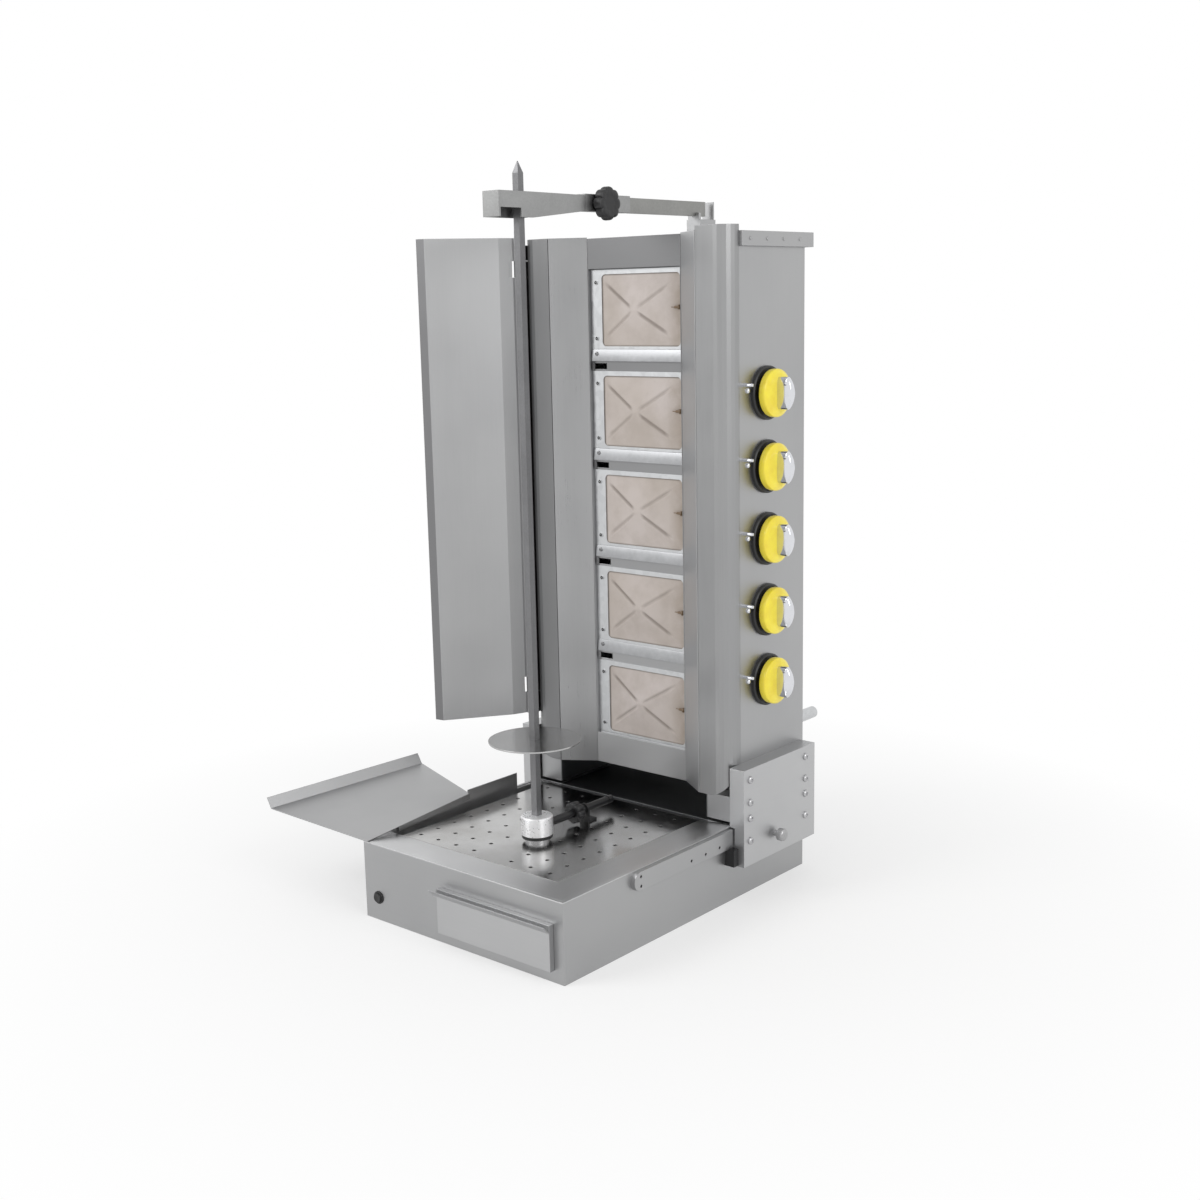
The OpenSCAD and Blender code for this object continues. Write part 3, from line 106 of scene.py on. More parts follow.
# The grill stands on a pale matt floor that keeps its shadow. Away from the grill the floor goes over
# into white, half of it lit and half of it glowing by itself near the feet.
# Every finish is a node graph on Object coordinates. A Tap is one socket of it, and sums and products
# of Taps add the Math nodes; Finish.node makes any other node.
class Tap:
    def __init__(self, finish, socket):
        self.finish, self.socket = finish, socket

    def _math(self, operation, *terms):
        return self.finish.node("ShaderNodeMath", {"operation": operation}, dict(enumerate(terms)))

    def __add__(self, other):
        return self._math("ADD", self, other)

    def __mul__(self, other):
        return self._math("MULTIPLY", self, other)

    def __sub__(self, other):
        return self._math("SUBTRACT", self, other)

    def __rsub__(self, other):
        return self._math("SUBTRACT", other, self)

    def __abs__(self):
        return self._math("ABSOLUTE", self)

    __radd__, __rmul__ = __add__, __mul__

    def clip(self, low, high):
        """0 at low, 1 at high, straight between them and held outside."""
        return self.finish.node("ShaderNodeMapRange", {}, {
            "Value": self, "From Min": low, "From Max": high})

    def most(self, other):
        return self._math("MAXIMUM", self, other)

    def sine(self):
        return self._math("SINE", self)

    def hypot(self, other):
        return self._math("SQRT", self * self + other * other)


class Finish:
    def __init__(self, name, **constants):
        self.material = bpy.data.materials.new(name)
        self.material.use_nodes = True
        self.tree = self.material.node_tree
        self.shader = self.tree.nodes["Principled BSDF"]
        self.wear(**constants)

    def feed(self, socket, value):
        if isinstance(value, Tap):
            self.tree.links.new(value.socket, socket)
        else:
            socket.default_value = value

    def wear(self, **sockets):
        """Links or values for the shader's own sockets, with _ for the spaces of their names."""
        for key, value in sockets.items():
            self.feed(self.shader.inputs[key.replace("_", " ")], value)

    def node(self, kind, settings=None, sockets=None, out=0):
        """Any node: its type, its settings, and the links or values of its sockets."""
        made = self.tree.nodes.new(kind)
        for key, value in (settings or {}).items():
            setattr(made, key, value)
        for key, value in (sockets or {}).items():
            self.feed(made.inputs[key], value)
        return Tap(self, made.outputs[out])

    def place(self, pitch, shift=(0, 0, 0)):
        """Object coordinates with pitch cells to the metre, the same all ways or one value for each."""
        spot = self.node("ShaderNodeTexCoord", out="Object")
        return self.node("ShaderNodeMapping", {}, {
            "Vector": spot, "Scale": pitch if isinstance(pitch, tuple) else (pitch,) * 3,
            "Location": shift})

    def axes(self):
        """X, Y and Z of the Object coordinates, in metres."""
        spot = self.node("ShaderNodeTexCoord", out="Object")
        cut = self.node("ShaderNodeSeparateXYZ", {}, {0: spot})
        return [Tap(self, cut.socket.node.outputs[k]) for k in range(3)]

    def noise(self, pitch, detail, rough=0.5, shift=(0, 0, 0)):
        return self.node("ShaderNodeTexNoise", {}, {
            "Vector": self.place(pitch, shift), "Scale": 1.0, "Detail": detail, "Roughness": rough})

    def blend(self, factor, low, high):
        """Colour that goes from low to high as factor goes from 0 to 1."""
        return self.node("ShaderNodeMix", {"data_type": "RGBA"}, {
            0: factor, 6: low if isinstance(low, Tap) else (*low, 1),
            7: high if isinstance(high, Tap) else (*high, 1)}, out=2)

    def relief(self, height, depth, edge=0.0):
        """Normal of a surface that stands up by depth metres where height is 1, with edges eased."""
        sockets = {"Height": height, "Distance": depth, "Strength": 1.0}
        if edge:
            sockets["Normal"] = self.node("ShaderNodeBevel", {"samples": 4}, {"Radius": edge})
        return self.node("ShaderNodeBump", {}, sockets)

    def paint(self, *objects):
        for thing in objects:
            mesh = thing.data
            mesh.materials.clear()
            mesh.materials.append(self.material)
            if len(mesh.polygons):
                mesh.polygons.foreach_set("material_index", np.zeros(len(mesh.polygons), np.int32))


floor_reach, floor_z, floor_tone = 9, -0.0005, 0.93
fade_near, fade_far = 0.35, 1.25
floor_mesh = bpy.data.meshes.new("studio_floor")
floor_mesh.from_pydata([(x * floor_reach, y * floor_reach, floor_z)
                        for x, y in ((-1, -1), (1, -1), (1, 1), (-1, 1))], [], [(0, 1, 2, 3)])
studio_floor = bpy.data.objects.new("studio_floor", floor_mesh)
bpy.context.scene.collection.objects.link(studio_floor)
pale_floor = Finish("pale_floor", Base_Color=(floor_tone, floor_tone, floor_tone, 1), Roughness=0.9,
                    Specular_IOR_Level=0.0)
floor_x, floor_y = pale_floor.axes()[:2]
glow = pale_floor.node("ShaderNodeEmission", {}, {"Color": (1, 1, 1, 1), "Strength": 1.0})
lit = pale_floor.node("ShaderNodeMixShader", {}, {
    0: floor_x.hypot(floor_y).clip(fade_near, fade_far) * 0.5 + 0.5,
    1: Tap(pale_floor, pale_floor.shader.outputs[0]), 2: glow})
pale_floor.feed(pale_floor.tree.nodes["Material Output"].inputs["Surface"], lit)
pale_floor.paint(studio_floor)


# The base box is folded from brushed stainless sheet, spot welded and ground at its corners. The grain
# runs level round its walls. The low space under the column is painted black, partly as soot and fat
# and partly as painted shade.
def tint(tone, shares):
    """Colour whose red, green and blue are these shares of the tone."""
    return tuple(tone * share for share in shares)


def brushed_sheet(name, grain, tone=0.40, rough=0.30, top_tone=None, fold_x=None):
    """Stainless sheet with fine streaks along the axis called grain, faint clouds and eased edges.
    It darkens to top_tone at the column's top. Beyond fold_x it is painted darker, as painted shade where
    it is folded off the light. Under the column it is painted black, as sooty fat and painted shade."""
    along_pitch, across_pitch, edge = 9.0, 700.0, 0.0012
    dark_share, light_share = (0.92, 0.925, 0.94), (1.06, 1.065, 1.07)
    top_share, fold_shade_share = (1.0, 1.005, 1.02), (0.52, 0.52, 0.53)
    soot_and_shade_colour = (0.115, 0.120, 0.125)
    sheet = Finish(name, Metallic=1.0)
    streak = sheet.noise(tuple(along_pitch if axis == grain else across_pitch for axis in "xyz"), 3.0, 0.6)
    cloud = sheet.noise(3.0, 3.0, 0.55)
    wipe = sheet.noise(11.0, 4.0, 0.6, (3.1, 0.4, 1.7))
    shade = streak.clip(0.25, 0.75) * 0.35 + cloud.clip(0.3, 0.7) * 0.65
    x, y, z = sheet.axes()
    # Under the column the sheet is painted black: soot, and painted shade in the low space there.
    soot_and_shade = (y.clip(0.088, 0.122) * z.clip(0.118, 0.124) * (1 - z.clip(0.1812, 0.1818))
            * (1 - abs(x).clip(0.1700, 0.1705)) * (1 - y.clip(0.3080, 0.3090)))
    steel = sheet.blend(shade, tint(tone, dark_share), tint(tone, light_share))
    if top_tone:
        steel = sheet.blend(z.clip(0.25, 1.05), steel, tint(top_tone, top_share))
    # Beyond fold_x the folded edge is painted darker, as painted shade.
    if fold_x:
        steel = sheet.blend(x.clip(fold_x, fold_x - 0.0006), steel, tint(tone, fold_shade_share))
    sheet.wear(
        Base_Color=sheet.blend(soot_and_shade, steel, soot_and_shade_colour),
        Roughness=rough + streak.clip(0.2, 0.8) * 0.10 + wipe.clip(0.35, 0.75) * 0.07,
        Normal=sheet.relief(streak, 0.00002, edge))
    return sheet


level_sheet = brushed_sheet("stainless_level_grain", "x")
level_sheet.paint(part["base_shell"])


# The base's floor and the drawer's runners are of galvanised sheet, as is all that stays inside: pale
# zinc with its dull crystals. They are screwed in from below.
def zinc_sheet(name, tone=0.58):
    """Zinc whose crystals are the cells of a Voronoi pattern, each with its own shade and gloss."""
    crystal_pitch, edge = 90, 0.0006
    dull_share, bright_share = (0.93, 0.945, 0.96), (1.05, 1.065, 1.08)
    zinc = Finish(name, Metallic=1.0)
    crystal = zinc.node("ShaderNodeTexVoronoi", {}, {"Vector": zinc.place(crystal_pitch), "Scale": 1.0},
                        out="Color")
    flake = zinc.node("ShaderNodeSeparateColor", {}, {0: crystal})
    stain = zinc.noise(14, 4.0)
    zinc.wear(Base_Color=zinc.blend(flake, tint(tone, dull_share), tint(tone, bright_share)),
              Roughness=0.34 + flake * 0.12 + stain.clip(0.4, 0.8) * 0.1,
              Normal=zinc.relief(flake, 0.00001, edge))
    return zinc


galvanised = zinc_sheet("galvanised_sheet")
galvanised.paint(part["base_floor"], part["drawer_runners"])


# The drawer is a folded box with a handle lip across its front. Its face is a little lighter than the
# base round it.
brushed_sheet("stainless_drawer", "x", 0.47).paint(part["drawer"])


# The two slide rails are channels screwed to the base's sides, and the catch tray is one bent sheet
# hooked over the splash wall. Their grain runs from front to back.
brushed_sheet("stainless_front_to_back_grain", "y").paint(part["slide_rails"], part["catch_tray"])


# The drip pan is pressed from sheet that lies in the base's ledge, and it is painted lighter than the
# base as painted light on its rims. Its sloping rim reaches down to the plate, and beside the plate this
# sheet closes it, in front and on the right.
def grid_piece(name, points, closed_u=False, closed_v=False, smooth=True):
    """Mesh through an array of points (rows, columns, 3), joined to neighbours in both directions.
    Equal points are merged, and all faces are turned outwards."""
    rows, columns = points.shape[:2]
    here = np.arange(rows * columns).reshape(rows, columns)
    down, right = np.roll(here, -1, 0), np.roll(here, -1, 1)
    corner = np.roll(down, -1, 1)
    quads = np.stack([here, down, corner, right], -1)
    quads = quads[:rows if closed_u else rows - 1, :columns if closed_v else columns - 1].reshape(-1, 4)
    mesh = bpy.data.meshes.new(name)
    mesh.from_pydata(points.reshape(-1, 3).tolist(), [], quads.tolist())
    shell = bmesh.new()
    shell.from_mesh(mesh)
    bmesh.ops.remove_doubles(shell, verts=shell.verts, dist=1e-6)
    bmesh.ops.dissolve_degenerate(shell, edges=shell.edges, dist=1e-7)
    bmesh.ops.recalc_face_normals(shell, faces=shell.faces)
    shell.to_mesh(mesh)
    shell.free()
    if smooth:
        mesh.polygons.foreach_set("use_smooth", np.ones(len(mesh.polygons), bool))
        mesh.set_sharp_from_angle(angle=math.radians(38))
    made = bpy.data.objects.new(name, mesh)
    bpy.context.scene.collection.objects.link(made)
    return made


rim_low, rim_high, rim_thick = 0.1291, 0.1331, 0.0009
rim_inner = [(-0.2205, -0.2600), (0.1550, -0.2600), (0.1550, 0.1118)]
rim_outer = [(-0.2232, -0.3200), (0.2190, -0.3200), (0.2190, 0.1118)]
slope = np.array([[(*a, rim_low), (*b, rim_high), (*b, rim_high - rim_thick), (*a, rim_low - rim_thick)]
                  for a, b in zip(rim_inner, rim_outer)])
front_end, back_end = [np.repeat(slope[k:k + 1].mean(1, keepdims=True), 4, 1) for k in (0, 2)]
pan_rim = grid_piece("pan_rim", np.concatenate([front_end, slope, back_end]), closed_v=True, smooth=False)
# The pan's lighter tone is painted light.
pan_sheet = brushed_sheet("stainless_pan", "y", 0.58, 0.26)
pan_sheet.paint(part["drip_pan"], pan_rim)
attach(pan_rim, "base")


# The perforated plate and the meat disc are of polished stainless: clear reflections with faint swirls
# and cooked-on haze. The plate is painted dark towards the back under the column, as soot and as
# painted shade.
polish_tone, polish_rough, polish_edge = 0.47, 0.15, 0.001
polished = Finish("polished_stainless", Metallic=1.0)
haze = polished.noise(9, 5.0, 0.62)
swirl = polished.noise(60, 3.0, 0.6, (1.3, 5.2, 0))
plate_steel = polished.blend(haze.clip(0.35, 0.7), tint(polish_tone, (1.04, 1.04, 1.04)),
                             tint(polish_tone, (0.93, 0.92, 0.9)))
plate_y, plate_z = polished.axes()[1:]
# Towards the back under the column the plate is painted dark: soot with painted shade.
polished.wear(
    Base_Color=polished.blend(plate_y.clip(0.030, 0.112) * plate_z.clip(0.140, 0.135) * 0.85, plate_steel,
                              (0.10, 0.10, 0.10)),
    Roughness=polish_rough + haze.clip(0.4, 0.75) * 0.10 + swirl.clip(0.4, 0.7) * 0.04,
    Normal=polished.relief(swirl, 0.00003, polish_edge))
polished.paint(part["floor_plate"], part["meat_disc"])


# The gear motor and its gearbox hang under the pan in dark grey paint, and a steel pinion drives the
# large gear on the hub's shaft.
def plain_metal(name, colour, metallic, rough, grain=300.0):
    """Machined or painted metal, or moulded plastic, with a fine mottle in its colour and gloss."""
    dark_share, light_share, edge = 0.85, 1.12, 0.0008
    metal = Finish(name, Metallic=metallic)
    mottle = metal.noise(grain, 3.0, 0.6)
    wide = metal.noise(18, 4.0, 0.6)
    shade = mottle.clip(0.3, 0.7) * 0.5 + wide.clip(0.3, 0.7) * 0.5
    metal.wear(Base_Color=metal.blend(shade, tint(dark_share, colour), tint(light_share, colour)),
               Roughness=rough - 0.05 + shade * 0.12, Normal=metal.relief(mottle, 0.00003, edge))
    return metal


plain_metal("motor_paint", (0.06, 0.06, 0.065), 0.2, 0.5).paint(part["gearbox"], part["gear_motor"])
plain_metal("gear_steel", (0.30, 0.30, 0.31), 1.0, 0.35).paint(part["drive_gear"], part["motor_pinion"])


# The hub is turned from aluminium with a square socket for the spit. Under it a black seal lies on a
# bright steel foot.
foot_top = 0.1361
plain_metal("turned_aluminium", (0.94, 0.94, 0.95), 0.66, 0.28).paint(part["spit_hub"])
seal = Finish("seal_on_steel_foot")
scuff = seal.noise(160, 3.0)
above_foot = seal.axes()[2].clip(foot_top, foot_top + 0.0002)
seal.wear(Base_Color=seal.blend(above_foot, (0.50, 0.50, 0.51), (0.014, 0.014, 0.015)),
          Metallic=1 - above_foot, Roughness=0.22 + above_foot * 0.2 + scuff * 0.1)
seal.paint(part["hub_ring"])


# The spit is a square steel bar with a point, dark from the fire.
plain_metal("spit_steel", (0.20, 0.20, 0.205), 1.0, 0.36).paint(part["spit_bar"])


# A black rod beside the hub slides in its lug and locks the spit. It is held by a small star grip,
# moulded from black thermoset with eight soft lobes.
def turned_points(profile, centre, axis, reach=None, turns=64):
    """Profile of (radius, height) carried round an axis through centre:
    point = centre + height * axis + radius * reach(angle, height) * (side * cos + other * sin)."""
    profile = np.asarray(profile, float)
    axis = np.asarray(axis, float)
    side = np.cross(axis, (0.0, 0.0, 1.0) if abs(axis[2]) < 0.9 else (1.0, 0.0, 0.0))
    side /= np.linalg.norm(side)
    other = np.cross(axis, side)
    angle = np.linspace(0, 2 * np.pi, turns, endpoint=False)[:, None]
    radius, height = profile[None, :, 0], profile[None, :, 1]
    if reach is not None:
        radius = radius * reach(angle, height)
    round_part = np.cos(angle)[..., None] * side + np.sin(angle)[..., None] * other
    return np.asarray(centre, float) + height[..., None] * axis + radius[..., None] * round_part


def turned_piece(name, profile, centre, axis, reach=None, turns=64, ring=False):
    """Closed turned body. A ring's profile is closed in itself and leaves a bore."""
    return grid_piece(name, turned_points(profile, centre, axis, reach, turns), closed_u=True, closed_v=ring)


def eight_lobes(angle, height):
    """Reach between 0.84 in the notches and 1 on the lobes, round on the lobe and narrow in the notch."""
    return 0.84 + 0.16 * np.abs(np.cos(4 * angle)) ** 0.55


def star_profile(radius, bore):
    """Flat back, crowned rim and a dished face with a bore, in shares of the radius and the height."""
    thick = 0.0158
    return [(bore, 0), (radius * 0.93, 0), (radius * 0.985, thick * 0.06), (radius, thick * 0.2),
            (radius, thick * 0.72), (radius * 0.97, thick * 0.88), (radius * 0.88, thick * 0.97),
            (radius * 0.7, thick), (radius * 0.5, thick * 0.93), (radius * 0.42, thick * 0.93),
            (bore, thick * 0.9)]


lock_radius, lock_bore, lobe_turns = 0.019, 0.00706, 192
black = (0.012, 0.012, 0.013)
black_plastic = plain_metal("black_plastic", black, 0.0, 0.42)
plain_metal("black_rod", black, 0.0, 0.35).paint(part["lock_rod"])
lock_low, lock_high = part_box("lock_grip")
lock_star = turned_piece("lock_star", star_profile(lock_radius, lock_bore),
                         (0, lock_high.y, (lock_low.z + lock_high.z) / 2), (0, -1, 0),
                         eight_lobes, lobe_turns, ring=True)
black_plastic.paint(part["rod_lug"], lock_star)
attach(lock_star, "lock_grip")
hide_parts("lock_grip")


# The motor's switch is a round push button in a black threaded bezel at the left of the base's front.
# The gland at the back, for the mains lead, is of the same black plastic.
switch_spot, to_front = (-0.193, -0.326, 0.040), (0, -1, 0)
bezel_profile = [(0.00806, -0.030), (0.0084, -0.030), (0.0084, 0.0), (0.0104, 0.0), (0.0110, 0.0006),
                 (0.0110, 0.0014), (0.0104, 0.0022), (0.0092, 0.0025), (0.00806, 0.0021)]
cap_profile = [(0, -0.0125), (0.0080, -0.0125), (0.0080, 0.0042), (0.0074, 0.0051), (0.0058, 0.0049),
               (0.0030, 0.0044), (0, 0.0043)]
switch_collar = turned_piece("switch_collar", bezel_profile, switch_spot, to_front, turns=96, ring=True)
switch_cap = turned_piece("switch_cap", cap_profile, switch_spot, to_front, turns=72)
black_plastic.paint(switch_collar, switch_cap, part["cable_gland"])
for piece, body, node in ((switch_collar, "base", "switch_bezel"), (switch_cap, "switch_button", "switch_button")):
    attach(piece, body)
    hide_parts(node)


# The column's shell is folded round from one sheet with its grain upright, and the bracket that carries
# the arm is of the same sheet. A lid with level grain is riveted on, and a galvanised cover at the back.
brushed_sheet("stainless_upright_grain", "z").paint(part["column_shell"], part["arm_post"])
level_sheet.paint(part["column_lid"])
galvanised.paint(part["rear_cover"])


# The burners sit in a recess: a panel with five windows that is darker towards the top, two angled
# reflectors beside it, and two front guards with rolled outer edges.
brushed_sheet("stainless_burner_panel", "x", top_tone=0.21).paint(part["burner_panel"])
# The reflectors and guards are one sheet in different tones: the right reflector is painted lighter as painted
# light, and the guards darker as painted shade, the left guard most.
brushed_sheet("stainless_reflector_left", "z", 0.39, 0.24).paint(part["reflector_left"])
brushed_sheet("stainless_reflector_right", "z", 0.58, 0.34).paint(part["reflector_right"])
brushed_sheet("stainless_guard_left", "z", 0.24, 0.26).paint(part["guard_left"])
brushed_sheet("stainless_guard_right", "z", 0.33, 0.28).paint(part["guard_right"])


# Each burner is held by a galvanised frame. The frame's lower edge is folded a little forward, and its
# bare metal catches the light.
def joined(name, pieces):
    """One mesh object made of several, in the order given."""
    points, faces, smooth = [], [], []
    for piece in pieces:
        start = len(points)
        points += [tuple(v.co) for v in piece.data.vertices]
        faces += [[start + i for i in p.vertices] for p in piece.data.polygons]
        smooth += [p.use_smooth for p in piece.data.polygons]
        bpy.data.objects.remove(piece)
    mesh = bpy.data.meshes.new(name)
    mesh.from_pydata(points, [], faces)
    mesh.polygons.foreach_set("use_smooth", smooth)
    mesh.set_sharp_from_angle(angle=math.radians(38))
    made = bpy.data.objects.new(name, mesh)
    bpy.context.scene.collection.objects.link(made)
    return made


burner_z = [0.305 + 0.174 * k for k in range(5)]
frame_half = 0.1000
lip_outline = np.array([(0.1459, -0.0660), (0.1452, -0.0675), (0.1430, -0.0860), (0.1432, -0.0872),
                        (0.1440, -0.0875), (0.1459, -0.0875)])
zinc_sheet("galvanised_frame").paint(part["burner_frames"])
lips = []
for middle in burner_z:
    ends = [np.column_stack([np.full(len(lip_outline), x), lip_outline[:, 0], lip_outline[:, 1] + middle])
            for x in (-frame_half, frame_half)]
    lips.append(grid_piece("lip", np.stack(ends), closed_v=True))
frame_lips = joined("frame_lips", lips)
plain_metal("bright_lip", (0.40, 0.405, 0.415), 1.0, 0.40, 120.0).paint(frame_lips)
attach(frame_lips, "column")


# Pan-head screws hold each burner frame at its left side: two on the upright strip, which heat has
# turned nearly black, and a bright one on the lower edge.
screw_profile = [(0.0, 0.0012), (0.0009, 0.0013), (0.0011, 0.0022), (0.0024, 0.0021), (0.0033, 0.0013),
                 (0.0036, 0.0002), (0.0036, 0.0), (0.0, 0.0)]
screw_x, strip_y, lip_y = -0.0881, 0.1458, 0.1442
strip_heights, lip_height = (-0.048, 0.048), -0.0745
upright_screws, edge_screws = [], []
for middle in burner_z:
    for screws, y, heights in ((upright_screws, strip_y, strip_heights), (edge_screws, lip_y, (lip_height,))):
        for height in heights:
            screws.append(turned_piece("screw", screw_profile, (screw_x, y, middle + height), to_front, turns=20))
frame_screws = joined("frame_screws", upright_screws)
lip_screws = joined("lip_screws", edge_screws)
plain_metal("scorched_screw", (0.03, 0.028, 0.027), 0.7, 0.45).paint(frame_screws)
plain_metal("dull_screw", (0.24, 0.24, 0.245), 1.0, 0.4).paint(lip_screws)
for screw_set in (frame_screws, lip_screws):
    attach(screw_set, "column")


# Wire screens stand in front of the five ceramic plates. Each is creased from corner to corner into a
# very low pyramid, so that heat doesn't buckle it, and its right side is scorched by the igniter.
window_mid, window_half, window_high = 0.010, 0.086, 0.0615
screen_half, screen_high, screen_thick = 0.0882, 0.0667, 0.001
screen_front, screen_rise, screen_border = 0.148, 0.009, 0.003
rib_ends = [(-0.066, 0.044), (-0.066, -0.044), (0.076, 0.044), (0.076, -0.044)]
rib_half, rib_rise, rib_start, rib_fade_in, rib_fade_out = 0.0042, 0.0022, 0.004, 0.010, 0.012
screen_columns, screen_rows = 150, 116


def screen_height(x, z):
    """Height of the pyramid over the border, 1 at the crease's middle (x = 0): 1 less the largest
    share of the way to a side. Four ribs run from the middle towards the corners and fade out."""
    left = window_half - screen_border - window_mid
    right = window_half - screen_border + window_mid
    side = np.where(x > 0, x / right, -x / left)
    slope = screen_rise * np.clip(1 - np.maximum(side, np.abs(z) / (window_high - screen_border)), 0, 1)
    rib = np.zeros_like(x)
    for end in rib_ends:
        length = math.hypot(*end)
        c, s = end[0] / length, end[1] / length
        along, beside = c * x + s * z, -s * x + c * z
        ridge = np.clip(1 - np.abs(beside) / rib_half, 0, 1)
        fade = np.clip((length - along) / rib_fade_out, 0, 1) * np.clip((along - rib_start) / rib_fade_in, 0, 1)
        rib = np.maximum(rib, rib_rise * ridge * fade)
    return np.where(slope > 0, slope - rib, 0)


def screen_surface(number, middle):
    """Front face as a grid of x and z, with a flat rear face behind its border and a closed rim."""
    x = np.linspace(window_mid - screen_half, window_mid + screen_half, screen_columns)
    z = np.linspace(-screen_high, screen_high, screen_rows)
    gx, gz = np.meshgrid(x, z, indexing="ij")
    front = np.stack([gx, screen_front - screen_height(gx, gz), gz + middle], -1)
    screen = grid_piece(f"screen_{number}", front)
    shell = bmesh.new()
    shell.from_mesh(screen.data)
    border = [edge for edge in shell.edges if edge.is_boundary]
    for made in bmesh.ops.extrude_edge_only(shell, edges=border)["geom"]:
        if isinstance(made, bmesh.types.BMVert):
            made.co.y = screen_front + screen_thick
    bmesh.ops.holes_fill(shell, edges=[edge for edge in shell.edges if edge.is_boundary], sides=0)
    bmesh.ops.recalc_face_normals(shell, faces=shell.faces)
    shell.to_mesh(screen.data)
    shell.free()
    return screen


screens = [screen_surface(k + 1, middle) for k, middle in enumerate(burner_z)]
woven = Finish("woven_screen", Roughness=0.8, Specular_IOR_Level=0.25)
wx, wz = woven.axes()[::2]
wire_turns = 2 * math.pi / 0.0024
mesh_holes = ((wx * wire_turns).sine() * (wz * wire_turns).sine()).clip(0.35, 0.9)
grime = woven.noise(24, 4.0, 0.6)
bloom = woven.noise((7, 7, 5), 3.0, 0.5, (0.3, 0.1, 0.9))
scorch = woven.noise(30, 4.0, 0.6, (0.7, 0.2, 0.4))
cloth = woven.blend(bloom.clip(0.38, 0.62), (0.62, 0.560, 0.530), (0.54, 0.480, 0.435))
cloth = woven.blend(grime.clip(0.42, 0.75) * 0.5, cloth, (0.42, 0.365, 0.320))
cloth = woven.blend(wx.clip(0.066, 0.096) * scorch.clip(0.25, 0.6) * 0.6, cloth, (0.34, 0.27, 0.20))
cloth = woven.blend(mesh_holes * 0.22, cloth, (0.20, 0.17, 0.15))
# The creases are painted darker than the cloth as painted shade of their ridges, most of all those that
# run down to the right, and painted shadow lies along the window's edges. One pattern serves all five
# screens: height is wrapped by their distance.
half_distance = 0.087
level = woven.node("ShaderNodeMath", {"operation": "WRAP"}, {
    0: wz, 1: burner_z[0] + half_distance, 2: burner_z[0] - half_distance}) - burner_z[0]
out_x, out_z = abs(wx), abs(level)
incline = 0.667 - wx.clip(-0.001, 0.001) * 0.088
crease = 1 - abs(out_z - out_x * incline).clip(0.0016, 0.0050)
crease = crease * out_x.clip(0.006, 0.014) * (1 - out_x.clip(0.058, 0.070))
down_right_shade = (wx * level).clip(0.00005, -0.00005)
cloth = woven.blend(crease * (0.28 + down_right_shade * 0.34), cloth, (0.20, 0.165, 0.145))
# Painted shadow along the window's edges.
window_edge_shadow = out_z.clip(0.0585, 0.0615).most((0 - wx).clip(0.0725, 0.0758))
cloth = woven.blend(window_edge_shadow * 0.75, cloth, (0.15, 0.13, 0.11))
woven.wear(Base_Color=cloth, Normal=woven.relief(mesh_holes, -0.0003))
woven.paint(*screens, part["ceramic_tiles"])
for screen in screens:
    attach(screen, "column")
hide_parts("burner_screens")


# An igniter stands at the right edge of every plate: a brown ceramic rod in a clip, with a wire tip
# that reaches over the plate. Heat has stained the clip.
rod_profile = [(0, 0), (0.0018, 0), (0.0021, 0.0006), (0.0021, 0.012), (0.0016, 0.0135), (0.0007, 0.014),
               (0.0007, 0.020), (0, 0.0202)]
clip_profile = [(0, 0), (0.0042, 0), (0.0046, 0.0005), (0.0046, 0.0028), (0.004, 0.0033), (0, 0.0033)]
rod_x, clip_x, igniter_y, igniter_up = 0.0990, 0.0975, 0.1438, 0.004
igniters = []
for middle in burner_z:
    for name, profile, x, turns in (("rod", rod_profile, rod_x, 20), ("clip", clip_profile, clip_x, 6)):
        igniters.append(turned_piece(name, profile, (x, igniter_y, middle + igniter_up), (-1, 0, 0), turns=turns))
igniter_set = joined("igniters", igniters)
plain_metal("brown_ceramic", (0.20, 0.135, 0.08), 0.0, 0.5).paint(igniter_set)
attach(igniter_set, "column")


# Behind the recess a galvanised manifold feeds five brass valves, and brass tubes lead from them to the
# burners' galvanised boxes. The valves' stems reach out through the column's right side.
galvanised.paint(part["burner_boxes"], part["gas_manifold"])
plain_metal("yellow_brass", (0.62, 0.44, 0.17), 1.0, 0.32).paint(
    part["gas_valves"], part["gas_tubes"], *[part[f"valve_stem_{k}"] for k in range(1, 6)])


# Each dial is a yellow moulded disc with a sloping rim in front of a black bezel, and its handle is a
# thick chromed blade that stands upright on it. Dial and handle are pushed in and turned together on
# the valve's stem, which has room in the dial's bore and in the handle's root.
knob_y, knob_back = 0.2105, 0.237
knob_z = [0.371 + 0.1227 * k for k in range(5)]
stem_bore = 0.0053
disc_profile = [(stem_bore, 0.0), (0.0382, 0.0), (0.0395, 0.0005), (0.0400, 0.0018), (0.0400, 0.0100),
                (0.0396, 0.0113), (0.0387, 0.0120), (0.0335, 0.0144), (0.0318, 0.0149), (stem_bore, 0.0150)]
handle_root, pocket_floor, handle_long, handle_thick = 0.0144, 0.0188, 0.0275, 0.0079
handle_reach, handle_round, handle_tip = 0.0268, 0.0336, 0.004
handle_rows, handle_columns = 22, 72
black_plastic.paint(part["knob_bezels"])
yellow = Finish("yellow_dial", Roughness=0.32, Coat_Weight=0.35, Coat_Roughness=0.12)
rub = yellow.noise(45, 4.0, 0.6)
yellow.wear(Base_Color=yellow.blend(rub.clip(0.35, 0.75), (0.94, 0.79, 0.045), (0.84, 0.65, 0.040)),
            Roughness=0.27 + rub * 0.18, Normal=yellow.relief(rub, 0.00008))
chrome = Finish("chrome_handle", Metallic=1.0)
smudge = chrome.noise(70, 4.0, 0.62)
chrome.wear(Base_Color=chrome.blend(smudge, (0.74, 0.75, 0.78), (0.66, 0.67, 0.70)),
            Roughness=0.05 + smudge.clip(0.45, 0.8) * 0.12)


